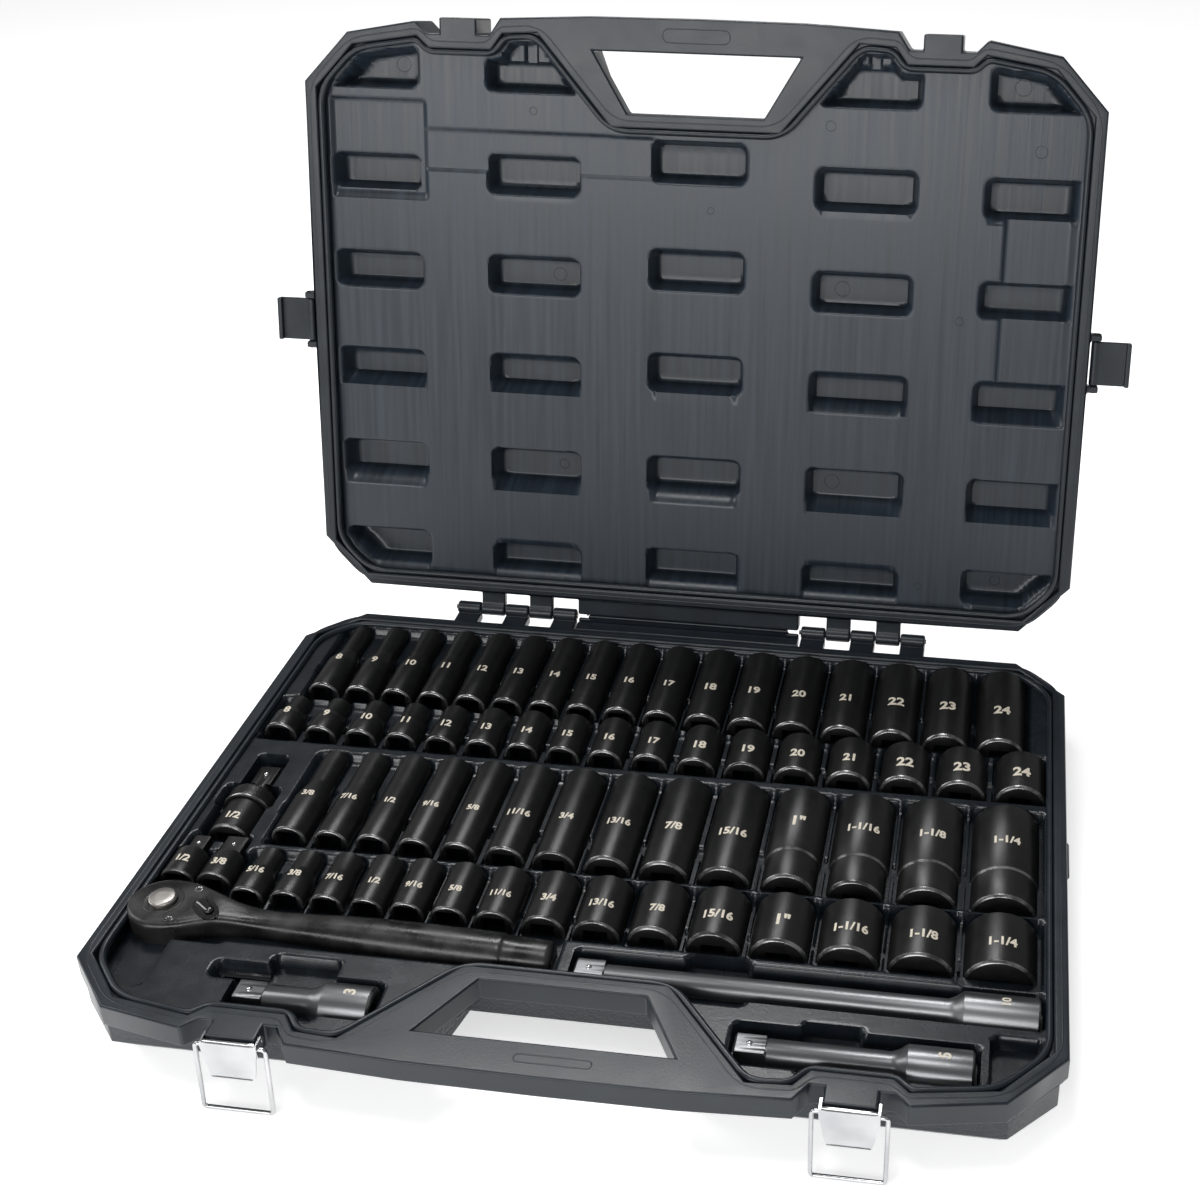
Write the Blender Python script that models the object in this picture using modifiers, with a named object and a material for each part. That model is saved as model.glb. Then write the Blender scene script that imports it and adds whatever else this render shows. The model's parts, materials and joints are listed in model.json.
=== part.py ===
"""A socket wrench set in an open blow-moulded case, built as separate solids.

The case stands open on the ground: the base pan holds a moulded tray with four rows of
impact sockets, a ratchet, three extension bars, a universal joint and two adapters, and
the lid leans back on two pinned hinges.  Lengths are written in millimetres and turned
into metres by the helpers.  +Z is up, the front of the case faces -Y, and the origin is
the centre of the base's underside.
"""

import math

import bmesh
import bpy
from mathutils import Matrix, Vector

MM = 0.001

# The case: outer half width, the rim's height, and the depth of the closed lid above it.
HALF_WIDTH = 264.0
BACK_Y = 191.5
RIM_Z = 48.0
BAND_HEIGHT = 14.0
SHOULDER_Z = 18.0
LID_DEPTH = 38.0
FLANGE = 8.0
WALL = 3.0
GAP = 0.3

# The lid's hinges, and how far the lid leans open from closed.
HINGE_Y = 204.8
HINGE_Z = RIM_Z + 2.7
LID_OPEN = math.radians(102.4)
HINGE_X = 124.0
KNUCKLE_RADIUS = 4.5
KNUCKLE_WIDTH = 17.0
HINGE_PIN_RADIUS = 1.6
APRON_HALF = 79.0
APRON_BACK = HINGE_Y - 1.8
APRON_BEAD = 1.4

# The draw latches at the front.
LATCH_X = 158.0
LATCH_PIVOT = (-198.5, RIM_Z - 4.0)
BAIL_PIVOT = (-204.0, RIM_Z - 5.0)
TAB_HALF = 13.6
TAB_FRONT = -202.6
RECESS_BACK = -192.5
BAIL_RADIUS = 1.5
BAIL_HALF = 18.8

# The handle: the hole for the fingers, the room round it, and the recess under the tray behind.
HANDLE_HOLE = [(-68.0, -185.0), (68.0, -185.0), (45.0, -146.0), (-45.0, -146.0)]
HANDLE_ROOM = [(-82.0, -215.0), (82.0, -215.0), (55.0, -143.0), (-55.0, -143.0)]
HANDLE_UNDERCUT = [(-82.0, -215.0), (82.0, -215.0), (60.0, -121.0), (-60.0, -121.0)]
UNDERCUT_TOP = 20.0

# The moulded tray and its pockets.
TRAY_TOP = RIM_Z - 3.0
TRAY_SKIN = 2.0
POCKET_SIDE = 0.5
TOOL_TOP = RIM_Z + 3.0

# The lid's liner and its grid of deep pockets, in depth above the closed rim.
LINER_DEPTH = 8.0
LINER_POCKET_DEPTH = 26.0
LINER_POCKET_SIZE = (62.0, 26.0)
LINER_COLUMNS = (-220.0, -110.0, 1.0, 112.0, 223.0)
LINER_ROWS = (-168.0, -102.0, -35.0, 32.0, 100.0, 168.0)

# Sockets: sizes across flats, and each row's left end, right end and front edge.
INCH = 25.4
METRIC_SIZES = tuple(range(8, 25))
INCH_DEEP_SIZES = ("3/8", "7/16", "1/2", "9/16", "5/8", "11/16", "3/4", "13/16", "7/8",
                   "15/16", "1", "1-1/16", "1-1/8", "1-1/4")
INCH_SHORT_SIZES = ("5/16",) + INCH_DEEP_SIZES
DEEP_LENGTH = 78.0
DEEP_INCH_LENGTH = 80.0
SHORT_METRIC_LENGTH = 37.0
SHORT_INCH_LENGTH = 39.0
ROW_DEEP_METRIC = (-228.5, 223.0, 98.5)
ROW_SHORT_METRIC = (-239.2, 236.6, 52.0)
ROW_DEEP_INCH = (-192.8, 228.6, -46.0)
ROW_SHORT_INCH = (-195.8, 228.1, -99.0)
SOCKET_SIDES = 12
SHOULDER_START = 0.42
SHOULDER_END = 0.62
DRIVE = 12.9
DRIVE_DEPTH = 16.0
WEB_TOP = TOOL_TOP - 0.6
WEB_SIZE = (3.0, 1.2)

# The ratchet: head centre, head radius, and the handle's far end.
RATCHET_X = -236.0
RATCHET_Y = -114.0
RATCHET_END = -12.0
RATCHET_END_Y = -119.5
HEAD_RADIUS = 19.5
HEAD_BOTTOM = 28.0
HEAD_TOP = 50.0
COVER_THICKNESS = 2.5
GEAR_RADIUS = 12.0
LEVER_X = RATCHET_X + 23.0
PAWL_X = RATCHET_X + 15.3
HANDLE_Z = 39.0

# The universal joint, the adapters and the extension bars.
JOINT_X = -231.0
JOINT_Z = TOOL_TOP - 15.7
JOINT_BALL_Y = -10.0
ADAPTER_PLACES = (-241.4, -219.4)
ADAPTERS = (("adapter_half_to_three_eighths", ADAPTER_PLACES[0], 12.9, 9.5),
            ("adapter_three_eighths_to_half", ADAPTER_PLACES[1], 9.8, 12.7))
# Name, left end, right end, centre line, shaft radius, socket-end radius, socket-end length.
EXTENSIONS = (("extension_10in", 1.5, 249.5, -126.5, 6.8, 11.5, 40.0),
              ("extension_3in", -172.0, -96.0, -166.0, 8.0, 12.0, 27.0),
              ("extension_5in", 95.0, 217.0, -167.0, 7.5, 12.0, 34.0))

PLASTIC = ((0.018, 0.020, 0.024, 1.0), 0.42, 0.0)
LINER = ((0.022, 0.025, 0.030, 1.0), 0.38, 0.0)
BLACK_OXIDE = ((0.012, 0.012, 0.013, 1.0), 0.36, 0.75)
BRIGHT_STEEL = ((0.78, 0.79, 0.80, 1.0), 0.18, 1.0)
BRUSHED_STEEL = ((0.33, 0.31, 0.29, 1.0), 0.30, 1.0)
GLOSSY_BLACK = ((0.008, 0.008, 0.009, 1.0), 0.12, 0.2)

TURN_TO_Y = (-math.pi / 2, 0.0, 0.0)
TURN_TO_X = (0.0, math.pi / 2, 0.0)


def clear_scene():
    for obj in list(bpy.data.objects):
        bpy.data.objects.remove(obj, do_unlink=True)


def make_collection(name):
    collection = bpy.data.collections.new(name)
    bpy.context.scene.collection.children.link(collection)
    return collection


clear_scene()
PARTS = make_collection("socket_set_in_case")
CUTTERS = make_collection("cutters")


# ------------------------------------------------------------------ helpers

def give_material(obj, look):
    colour, roughness, metallic = look
    material = bpy.data.materials.new(obj.name)
    material.use_nodes = True
    shader = material.node_tree.nodes["Principled BSDF"]
    shader.inputs["Base Color"].default_value = colour
    shader.inputs["Roughness"].default_value = roughness
    shader.inputs["Metallic"].default_value = metallic
    obj.data.materials.append(material)


def add_object(name, bm, look=None, location=(0, 0, 0), rotation=(0, 0, 0)):
    """Link a bmesh as an object: a part when it has a look, otherwise a hidden cutter."""
    mesh = bpy.data.meshes.new(name)
    bmesh.ops.recalc_face_normals(bm, faces=bm.faces)
    bm.to_mesh(mesh)
    bm.free()
    obj = bpy.data.objects.new(name, mesh)
    obj.location = Vector(location) * MM
    obj.rotation_euler = rotation
    if look is None:
        CUTTERS.objects.link(obj)
        obj.hide_render = True
        obj.display_type = "WIRE"
    else:
        PARTS.objects.link(obj)
        give_material(obj, look)
    return obj


def box(name, low, high, look=None):
    size = Vector(high) - Vector(low)
    centre = (Vector(high) + Vector(low)) / 2
    bm = bmesh.new()
    bmesh.ops.create_cube(bm, size=MM, matrix=Matrix.Diagonal((*size, 1.0)))
    return add_object(name, bm, look, centre)


def rod(name, sides, radius, length, look=None, location=(0, 0, 0), rotation=(0, 0, 0), turn=0.0):
    """A prism or cylinder about its own Z, starting at its location."""
    bm = bmesh.new()
    place = Matrix.Translation((0, 0, length * MM / 2)) @ Matrix.Rotation(turn, 4, "Z")
    bmesh.ops.create_cone(bm, cap_ends=True, segments=sides, radius1=radius * MM,
                          radius2=radius * MM, depth=length * MM, matrix=place)
    return add_object(name, bm, look, location, rotation)


def square_rod(name, across, length, look=None, location=(0, 0, 0), rotation=(0, 0, 0)):
    return rod(name, 4, across / math.sqrt(2), length, look, location, rotation, math.pi / 4)


def stack(name, sections, look=None):
    """The closed solid through level outlines with equal numbers of points, lowest first."""
    bm = bmesh.new()
    rings = [[bm.verts.new((x * MM, y * MM, z * MM)) for x, y in outline]
             for z, outline in sections]
    bm.faces.new(rings[0])
    bm.faces.new(rings[-1])
    for lower, upper in zip(rings, rings[1:]):
        for i in range(len(lower)):
            j = (i + 1) % len(lower)
            bm.faces.new((lower[i], lower[j], upper[j], upper[i]))
    return add_object(name, bm, look)


def prism(name, outline, low, high, look=None):
    return stack(name, [(low, outline), (high, outline)], look)


def turned(name, profile, look=None, location=(0, 0, 0), rotation=(0, 0, 0), sides=16):
    """A Screw of (radius, height) points that run down the outer side from the axis to the axis."""
    bm = bmesh.new()
    points = [bm.verts.new((radius * MM, 0, height * MM)) for radius, height in profile]
    for upper, lower in zip(points, points[1:]):
        bm.edges.new((upper, lower))
    obj = add_object(name, bm, look, location, rotation)
    screw = obj.modifiers.new("Turn", "SCREW")
    screw.steps = sides
    screw.render_steps = sides
    screw.use_merge_vertices = True
    screw.merge_threshold = 0.00001
    return obj


def boolean(obj, other, operation="DIFFERENCE"):
    """Join or cut with another object, which stays in the cutters' collection."""
    if other.name in PARTS.objects:
        PARTS.objects.unlink(other)
        CUTTERS.objects.link(other)
        other.hide_render = True
        other.display_type = "WIRE"
    modifier = obj.modifiers.new(operation.title(), "BOOLEAN")
    modifier.operation = operation
    modifier.object = other
    return obj


def boolean_group(obj, others, operation):
    """Join or cut with many hidden objects at once, through a collection of their own."""
    group = bpy.data.collections.new(obj.name + "_" + operation.lower())
    CUTTERS.children.link(group)
    group.hide_render = True
    for other in others:
        for owner in list(other.users_collection):
            owner.objects.unlink(other)
        group.objects.link(other)
        other.hide_render = True
        other.display_type = "WIRE"
    modifier = obj.modifiers.new(operation.title(), "BOOLEAN")
    modifier.operation = operation
    modifier.operand_type = "COLLECTION"
    modifier.collection = group
    return obj


def mirrored(half):
    """A closed outline from its right half, which runs from the front centre to the back centre."""
    left = [(-x, y) for x, y in reversed(half) if x > 0]
    return half + left


def offset(outline, distance):
    """The outline moved inwards by a distance, with mitred corners; it runs anticlockwise."""
    moved = []
    for i, point in enumerate(outline):
        before = Vector(point) - Vector(outline[i - 1])
        after = Vector(outline[(i + 1) % len(outline)]) - Vector(point)
        normal_a = Vector((-before.y, before.x)).normalized()
        normal_b = Vector((-after.y, after.x)).normalized()
        middle = (normal_a + normal_b).normalized()
        moved.append(tuple(Vector(point) + middle * (distance / middle.dot(normal_a))))
    return moved


def lid_hinge_empty():
    """The empty on the hinges' axis that leans the lid's pieces back."""
    empty = bpy.data.objects.new("lid_hinge", None)
    empty.location = Vector((0, HINGE_Y, HINGE_Z)) * MM
    empty.rotation_euler = (-LID_OPEN, 0.0, 0.0)
    PARTS.objects.link(empty)
    return empty


LID_HINGE = lid_hinge_empty()


def lean_open(obj):
    """Hang an object built in the closed lid's place, and its cutters, on the lid's empty."""
    obj.parent = LID_HINGE
    obj.matrix_parent_inverse = Matrix.Translation(-LID_HINGE.location)
    for modifier in obj.modifiers:
        if modifier.operand_type == "OBJECT":
            others = [modifier.object]
        else:
            others = modifier.collection.objects
        for other in others:
            if other.parent is None:
                lean_open(other)
    return obj


def set_origin(obj, point):
    """Move an object's origin to a point and leave its shape where it is."""
    shift = Vector(point) * MM - obj.location
    obj.data.transform(Matrix.Translation(-shift))
    obj.location += shift
    return obj


# ------------------------------------------------------------------ outlines of the case

def case_outline(tab_half):
    """The outline seen from above: cut corners, a bowed front and a notched recess at each latch."""
    return mirrored([
        (0.0, -207.0),
        (70.0, -206.5),
        (LATCH_X - 28.5, -203.5),
        (LATCH_X - 21.0, RECESS_BACK),
        (LATCH_X - tab_half, RECESS_BACK),
        (LATCH_X - tab_half, TAB_FRONT),
        (LATCH_X + tab_half, TAB_FRONT),
        (LATCH_X + tab_half, RECESS_BACK),
        (LATCH_X + 21.0, RECESS_BACK),
        (LATCH_X + 28.5, -200.0),
        (233.5, -191.5),
        (HALF_WIDTH, -159.0),
        (HALF_WIDTH, 157.8),
        (231.4, BACK_Y),
        (0.0, BACK_Y),
    ])


def opening_outline():
    """The inner edge of the rim, which steps in behind the latches and round the handle."""
    return mirrored([
        (0.0, -137.0),
        (56.0, -137.0),
        (105.0, -195.0),
        (128.0, -193.5),
        (136.0, -183.0),
        (178.0, -183.0),
        (186.0, -190.5),
        (230.0, -183.5),
        (HALF_WIDTH - FLANGE, -155.5),
        (HALF_WIDTH - FLANGE, 160.3),
        (233.6, BACK_Y - FLANGE),
        (0.0, BACK_Y - FLANGE),
    ])




def cut_rectangle(half, front, back, cut=25.0):
    """A rectangle with cut corners, about the middle of the case."""
    return [(cut - half, front), (half - cut, front), (half, front + cut), (half, back - cut),
            (half - cut, back), (cut - half, back), (-half, back - cut), (-half, front + cut)]


# ------------------------------------------------------------------ base pan

def side_catch(side, low, high):
    x0, x1 = sorted((side * (HALF_WIDTH - 1), side * (HALF_WIDTH + 2.0)))
    return box("side_catch", (x0, -12.0, low), (x1, 18.0, high))


def knuckle(name, x, width, arm_low, arm_high, arm_start):
    """One moulded hinge knuckle about the hinge's axis, with its arm to the wall."""
    barrel = rod(name, 12, KNUCKLE_RADIUS, width, None, (x, HINGE_Y, HINGE_Z), TURN_TO_X)
    arm = box(name + "_arm", (x, arm_start, arm_low), (x + width, HINGE_Y, arm_high))
    return [barrel, arm]


def hinge_apron(name, low, high):
    """The moulded strip that fills the back edge between the two hinges."""
    return box(name, (-APRON_HALF, BACK_Y - 2, low), (APRON_HALF, APRON_BACK, high))


def apron_bead():
    """The bead along the hinges' axis that closes the gap between the two aprons, on its web."""
    start = (-APRON_HALF, HINGE_Y, HINGE_Z)
    bead = rod("apron_bead", 12, APRON_BEAD, 2 * APRON_HALF, None, start, TURN_TO_X)
    web = box("apron_web", (-APRON_HALF, BACK_Y, RIM_Z - 9.0), (APRON_HALF, HINGE_Y + 1.2, RIM_Z - 3.0))
    stem = box("apron_stem", (-APRON_HALF, HINGE_Y - 1.0, RIM_Z - 4.0), (APRON_HALF, HINGE_Y + 1.2, HINGE_Z))
    return [bead, web, stem]


def knuckle_places(side):
    """Left edges of the five interleaved knuckles of one hinge, the base's and then the lid's."""
    start = side * HINGE_X - 2.5 * KNUCKLE_WIDTH - 2 * GAP
    places = [start + i * (KNUCKLE_WIDTH + GAP * 1.5) for i in range(5)]
    return places[0::2], places[1::2]


def hinge_bore(side):
    length = 5 * KNUCKLE_WIDTH + 20
    start = (side * HINGE_X - length / 2, HINGE_Y, HINGE_Z)
    return rod("hinge_bore", 10, HINGE_PIN_RADIUS + GAP, length, None, start, TURN_TO_X)


def base_shell():
    shell = prism("base_shell", case_outline(TAB_HALF), RIM_Z - BAND_HEIGHT, RIM_Z, PLASTIC)
    foot = cut_rectangle(257.0, -172.0, 178.0)
    shoulder = cut_rectangle(260.0, -187.0, 188.0)
    top = RIM_Z - BAND_HEIGHT + 1
    body = stack("base_body", [(0.0, foot), (SHOULDER_Z, shoulder), (top, shoulder)])
    joined = [body, side_catch(-1, 36.0, 39.0), side_catch(1, 36.0, 39.0)]
    joined.append(hinge_apron("base_apron", RIM_Z - 10.0, RIM_Z - 0.6))
    joined += apron_bead()
    for side in (-1, 1):
        for x in knuckle_places(side)[0]:
            joined += knuckle("base_knuckle", x, KNUCKLE_WIDTH, RIM_Z - 7.0, RIM_Z, BACK_Y - 2)
    boolean_group(shell, joined, "UNION")
    inner = offset(shoulder, WALL)
    hollow = stack("base_hollow", [(WALL, offset(foot, WALL)), (SHOULDER_Z, inner), (top + 0.5, inner)])
    boolean(hollow, prism("handle_keep", offset(HANDLE_ROOM, -WALL), 0.0, RIM_Z))
    boolean(hollow, prism("undercut_keep", offset(HANDLE_UNDERCUT, -WALL), 0.0, UNDERCUT_TOP + WALL))
    boolean(shell, hollow)
    boolean(shell, prism("rim_opening", opening_outline(), RIM_Z - BAND_HEIGHT, RIM_Z + 5))
    boolean(shell, prism("handle_hole", HANDLE_HOLE, -5.0, RIM_Z + 5))
    boolean(shell, prism("handle_room", HANDLE_ROOM, -5.0, RIM_Z - BAND_HEIGHT))
    boolean(shell, prism("handle_undercut", HANDLE_UNDERCUT, -5.0, UNDERCUT_TOP))
    bores = [hinge_bore(-1), hinge_bore(1)]
    for side in (-1, 1):
        start = (side * LATCH_X - 20, *LATCH_PIVOT)
        bores.append(rod("latch_bore", 8, 1.8, 40.0, None, start, TURN_TO_X))
    boolean_group(shell, bores, "DIFFERENCE")
    return shell


# ------------------------------------------------------------------ tray

def row_places(sizes_of, row):
    """Centres along a row: the gap between neighbours is even, and the row fills its span."""
    left, right, _ = row
    widths = list(sizes_of)
    free = (right - left) - sum(widths) + (widths[0] + widths[-1]) / 2
    gap = free / (len(widths) - 1)
    places = [left]
    for before, after in zip(widths, widths[1:]):
        places.append(places[-1] + (before + after) / 2 + gap)
    return places


def inches(label):
    """Millimetres across flats from a size such as 1-1/16."""
    whole, _, part = label.partition("-") if "-" in label else ("0", "", label)
    top, _, bottom = part.partition("/")
    return (float(whole) + float(top) / float(bottom or 1)) * INCH


def deep_diameter(size):
    return max(22.0, 1.17 * size + 4.6)


def short_inch_diameter(size):
    return max(20.5, 1.25 * size + 2.2)


def nose_diameter(size, diameter):
    return min(diameter, 1.35 * size + 3.5)


def rows():
    """Every socket as (row name, label, size, diameter, length, x, front y)."""
    metric = [(f"{size:02d}", float(size)) for size in METRIC_SIZES]
    inch_deep = [(label.replace("/", "_"), inches(label)) for label in INCH_DEEP_SIZES]
    inch_short = [(label.replace("/", "_"), inches(label)) for label in INCH_SHORT_SIZES]
    plan = (
        ("deep_metric", metric, deep_diameter, DEEP_LENGTH, ROW_DEEP_METRIC),
        ("short_metric", metric, deep_diameter, SHORT_METRIC_LENGTH, ROW_SHORT_METRIC),
        ("deep_inch", inch_deep, deep_diameter, DEEP_INCH_LENGTH, ROW_DEEP_INCH),
        ("short_inch", inch_short, short_inch_diameter, SHORT_INCH_LENGTH, ROW_SHORT_INCH),
    )
    for name, sizes, diameter_of, length, row in plan:
        diameters = [diameter_of(size) for _, size in sizes]
        for (label, size), diameter, x in zip(sizes, diameters, row_places(diameters, row)):
            yield name, label, size, diameter, length, x, row[2]


def pocket_boxes():
    """Every pocket in the tray as (low corner, high corner), without the skin."""
    for _, _, size, diameter, length, x, front in rows():
        half = diameter / 2 + POCKET_SIDE
        nose = nose_diameter(size, diameter) / 2 + POCKET_SIDE
        low = TOOL_TOP - diameter - POCKET_SIDE
        shoulder = front + length * SHOULDER_END + 1.0 if nose < half else front + length + 1.0
        yield (x - half, front - 2.0, low), (x + half, shoulder, RIM_Z + 5)
        if nose < half:
            low = TOOL_TOP - diameter / 2 - nose
            yield (x - nose, shoulder - 1.0, low), (x + nose, front + length + 1.0, RIM_Z + 5)
    for x in ADAPTER_PLACES:
        yield (x - 11.0, -92.0, TOOL_TOP - 22.0), (x + 11.0, -50.0, RIM_Z + 5)
    yield (JOINT_X - 17.0, -49.0, TOOL_TOP - 31.7), (JOINT_X + 17.0, 25.0, RIM_Z + 5)
    head = HEAD_RADIUS + 1.5
    yield (-HALF_WIDTH, RATCHET_Y - head, 26.0), (RATCHET_X + 40, RATCHET_Y + head - 1.0, RIM_Z + 5)
    yield (RATCHET_X - 10.5, RATCHET_Y - 10.5, 8.5), (RATCHET_X + 10.5, RATCHET_Y + 10.5, RIM_Z + 5)
    yield (RATCHET_X + 39, -133.5, 26.0), (RATCHET_END + 2.0, -103.6, RIM_Z + 5)
    for _, left, right, y, _, radius, _ in EXTENSIONS:
        yield (left - 1.5, y - radius - 1.0, TOOL_TOP - 1 - 2 * radius - 0.5), \
              (right + 1.5, y + radius + 1.0, RIM_Z + 5)


def tool_tray():
    """The moulded inner skin: a plate with a thin-walled pocket hanging under each tool."""
    edge = offset(opening_outline(), GAP)
    tray = prism("tool_tray", edge, TRAY_TOP - TRAY_SKIN, TRAY_TOP, PLASTIC)
    cups = []
    hollows = []
    for low, high in pocket_boxes():
        outer_low = (low[0] - TRAY_SKIN, low[1] - TRAY_SKIN, low[2] - TRAY_SKIN)
        outer_high = (high[0] + TRAY_SKIN, high[1] + TRAY_SKIN, TRAY_TOP)
        cups.append(box("cup", outer_low, outer_high))
        hollows.append(box("pocket", low, high))
    boolean_group(tray, cups, "UNION")
    boolean(tray, ring_outside("tray_trim", edge, 0.0, RIM_Z + 10))
    boolean_group(tray, hollows, "DIFFERENCE")
    return tray


# ------------------------------------------------------------------ lid

def lid_shell():
    """The lid's outer shell, modelled closed over the base and then leaned open."""
    outline = case_outline(TAB_HALF - 1.1)
    shell = stack("lid_shell", [
        (RIM_Z + GAP, outline),
        (RIM_Z + LID_DEPTH - 5, outline),
        (RIM_Z + LID_DEPTH, offset(outline, 4.0)),
    ], PLASTIC)
    joined = [hinge_apron("lid_apron", RIM_Z + 0.6, RIM_Z + 12.0)]
    for side in (-1, 1):
        for x in knuckle_places(side)[1]:
            joined += knuckle("lid_knuckle", x, KNUCKLE_WIDTH, RIM_Z + 1.5, RIM_Z + 7.0, BACK_Y - 2)
        for y in (-17.5, 17.0):
            x0, x1 = sorted((side * (HALF_WIDTH - 2.0), side * (HALF_WIDTH + 7.5)))
            joined.append(box("side_latch_ear", (x0, y, RIM_Z + 1.0), (x1, y + 4.5, RIM_Z + 8.5)))
    boolean_group(shell, joined, "UNION")
    boolean(shell, prism("lid_hollow", opening_outline(), RIM_Z - 5, RIM_Z + LID_DEPTH - 2.5))
    boolean(shell, prism("lid_handle_hole", HANDLE_HOLE, RIM_Z - 5, RIM_Z + LID_DEPTH + 5))
    cuts = [prism("lid_handle_room", HANDLE_ROOM, RIM_Z + BAND_HEIGHT, RIM_Z + LID_DEPTH + 5)]
    for side in (-1, 1):
        strike = (side * LATCH_X - 14, -215.0, RIM_Z + 34.0)
        cuts.append(box("strike_top", strike, (side * LATCH_X + 14, -194.0, RIM_Z + LID_DEPTH + 5)))
        cuts.append(hinge_bore(side))
        bore = (side * (HALF_WIDTH + 4.0), -30.0, RIM_Z + 4.8)
        cuts.append(rod("side_latch_bore", 8, 1.9, 60.0, None, bore, TURN_TO_Y))
    boolean_group(shell, cuts, "DIFFERENCE")
    return lean_open(shell)


def liner_pockets():
    """Centres of the liner's pockets; the handle takes the place of the middle front one."""
    for column, x in enumerate(LINER_COLUMNS):
        for row, y in enumerate(LINER_ROWS):
            if not (column == 2 and row == 0):
                yield x, y


def lid_liner():
    """The lid's inner skin with its grid of deep pockets."""
    edge = offset(opening_outline(), GAP)
    low = RIM_Z + LINER_DEPTH
    liner = prism("lid_liner", edge, low, low + TRAY_SKIN, LINER)
    half_x, half_y = LINER_POCKET_SIZE[0] / 2, LINER_POCKET_SIZE[1] / 2
    floor = RIM_Z + LINER_POCKET_DEPTH
    cups = []
    hollows = []
    for x, y in liner_pockets():
        cups.append(box("liner_cup", (x - half_x, y - half_y, low),
                        (x + half_x, y + half_y, floor + TRAY_SKIN)))
        hollows.append(box("liner_pocket", (x - half_x + 2, y - half_y + 2, low - 5),
                           (x + half_x - 2, y + half_y - 2, floor)))
    boolean_group(liner, cups, "UNION")
    boolean(liner, ring_outside("liner_trim", edge, low - 10, RIM_Z + LID_DEPTH))
    boolean_group(liner, hollows, "DIFFERENCE")
    return lean_open(liner)


def ring_outside(name, outline, low, high):
    """Everything outside an outline, out to a wide border: it trims what reaches past the edge."""
    border = box(name, (-300, -250, low), (300, 250, high))
    boolean(border, prism(name + "_keep", outline, low - 5, high + 5))
    return border


# ------------------------------------------------------------------ hinges and latches

def hinge_pin(name, side):
    length = 5 * KNUCKLE_WIDTH + 4
    start = (side * HINGE_X - length / 2, HINGE_Y, HINGE_Z)
    return rod(name, 12, HINGE_PIN_RADIUS, length, BRUSHED_STEEL, start, TURN_TO_X)


def latch_plate(name, side):
    """The lever plate with two folded flanges and its pivot pin, which turns in the base's tab."""
    x = side * LATCH_X
    inner = TAB_HALF + 0.4
    outer = inner + 1.2
    pivot_y, pivot_z = LATCH_PIVOT
    plate = box(name, (x - outer, -207.3, RIM_Z - 25.0), (x + outer, -205.4, RIM_Z - 3.0), BRIGHT_STEEL)
    set_origin(plate, (x, pivot_y, pivot_z))
    parts = [rod("plate_pin", 8, 1.4, 2 * inner + 1.2, None, (x - inner - 0.6, pivot_y, pivot_z), TURN_TO_X)]
    for low, high in ((-outer, -inner), (inner, outer)):
        parts.append(box("plate_flange", (x + low, -205.6, RIM_Z - 9.0), (x + high, -196.4, RIM_Z - 1.0)))
    boolean_group(plate, parts, "UNION")
    hole = (x - 20, *BAIL_PIVOT)
    boolean(plate, rod("bail_hole", 8, BAIL_RADIUS + 0.4, 40.0, None, hole, TURN_TO_X))
    return plate


def latch_bail(name, side):
    """The wire bail that hangs from the plate's flanges down to the ground."""
    x = side * LATCH_X
    pivot_y, pivot_z = BAIL_PIVOT
    foot_y, foot_z = -207.6, BAIL_RADIUS + 0.1
    knee_y, knee_z = -205.6, RIM_Z - 26.0
    inner = TAB_HALF + 0.9
    path = [
        (-inner, pivot_y, pivot_z),
        (-BAIL_HALF + 1, pivot_y, pivot_z),
        (-BAIL_HALF, pivot_y, pivot_z - 1.5),
        (-BAIL_HALF, knee_y, knee_z),
        (-BAIL_HALF, foot_y, foot_z + 3),
        (-BAIL_HALF + 3, foot_y, foot_z),
    ]
    path += [(-px, py, pz) for px, py, pz in reversed(path)]
    curve = bpy.data.curves.new(name, "CURVE")
    curve.dimensions = "3D"
    curve.bevel_depth = BAIL_RADIUS * MM
    curve.bevel_resolution = 1
    curve.use_fill_caps = True
    spline = curve.splines.new("POLY")
    spline.points.add(len(path) - 1)
    for point, (px, py, pz) in zip(spline.points, path):
        point.co = (px * MM, (py - pivot_y) * MM, (pz - pivot_z) * MM, 1.0)
    obj = bpy.data.objects.new(name, curve)
    PARTS.objects.link(obj)
    obj.location = Vector((x, pivot_y, pivot_z)) * MM
    give_material(obj, BRIGHT_STEEL)
    return obj


def side_latch(name, side):
    """An L-shaped plastic flap that sticks out from the lid's side on a pin."""
    z = RIM_Z + 4.8
    axis_x = side * (HALF_WIDTH + 4.0)
    reach = side * 27.0
    x0, x1 = sorted((axis_x, side * HALF_WIDTH + reach))
    flap = box(name, (x0, -12.5, z - 1.3), (x1, 16.5, z + 1.3), PLASTIC)
    set_origin(flap, (axis_x, 2.0, z))
    tip0, tip1 = sorted((side * HALF_WIDTH + reach, side * HALF_WIDTH + reach - side * 3.0))
    parts = [
        rod("flap_barrel", 10, 3.0, 29.0, None, (axis_x, -12.5, z), TURN_TO_Y),
        rod("flap_pin", 8, 1.5, 36.0, None, (axis_x, -16.0, z), TURN_TO_Y),
        box("flap_hook", (tip0, -12.5, z - 5.0), (tip1, 16.5, z + 1.3)),
    ]
    boolean_group(flap, parts, "UNION")
    return lean_open(flap)


# ------------------------------------------------------------------ sockets

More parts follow.
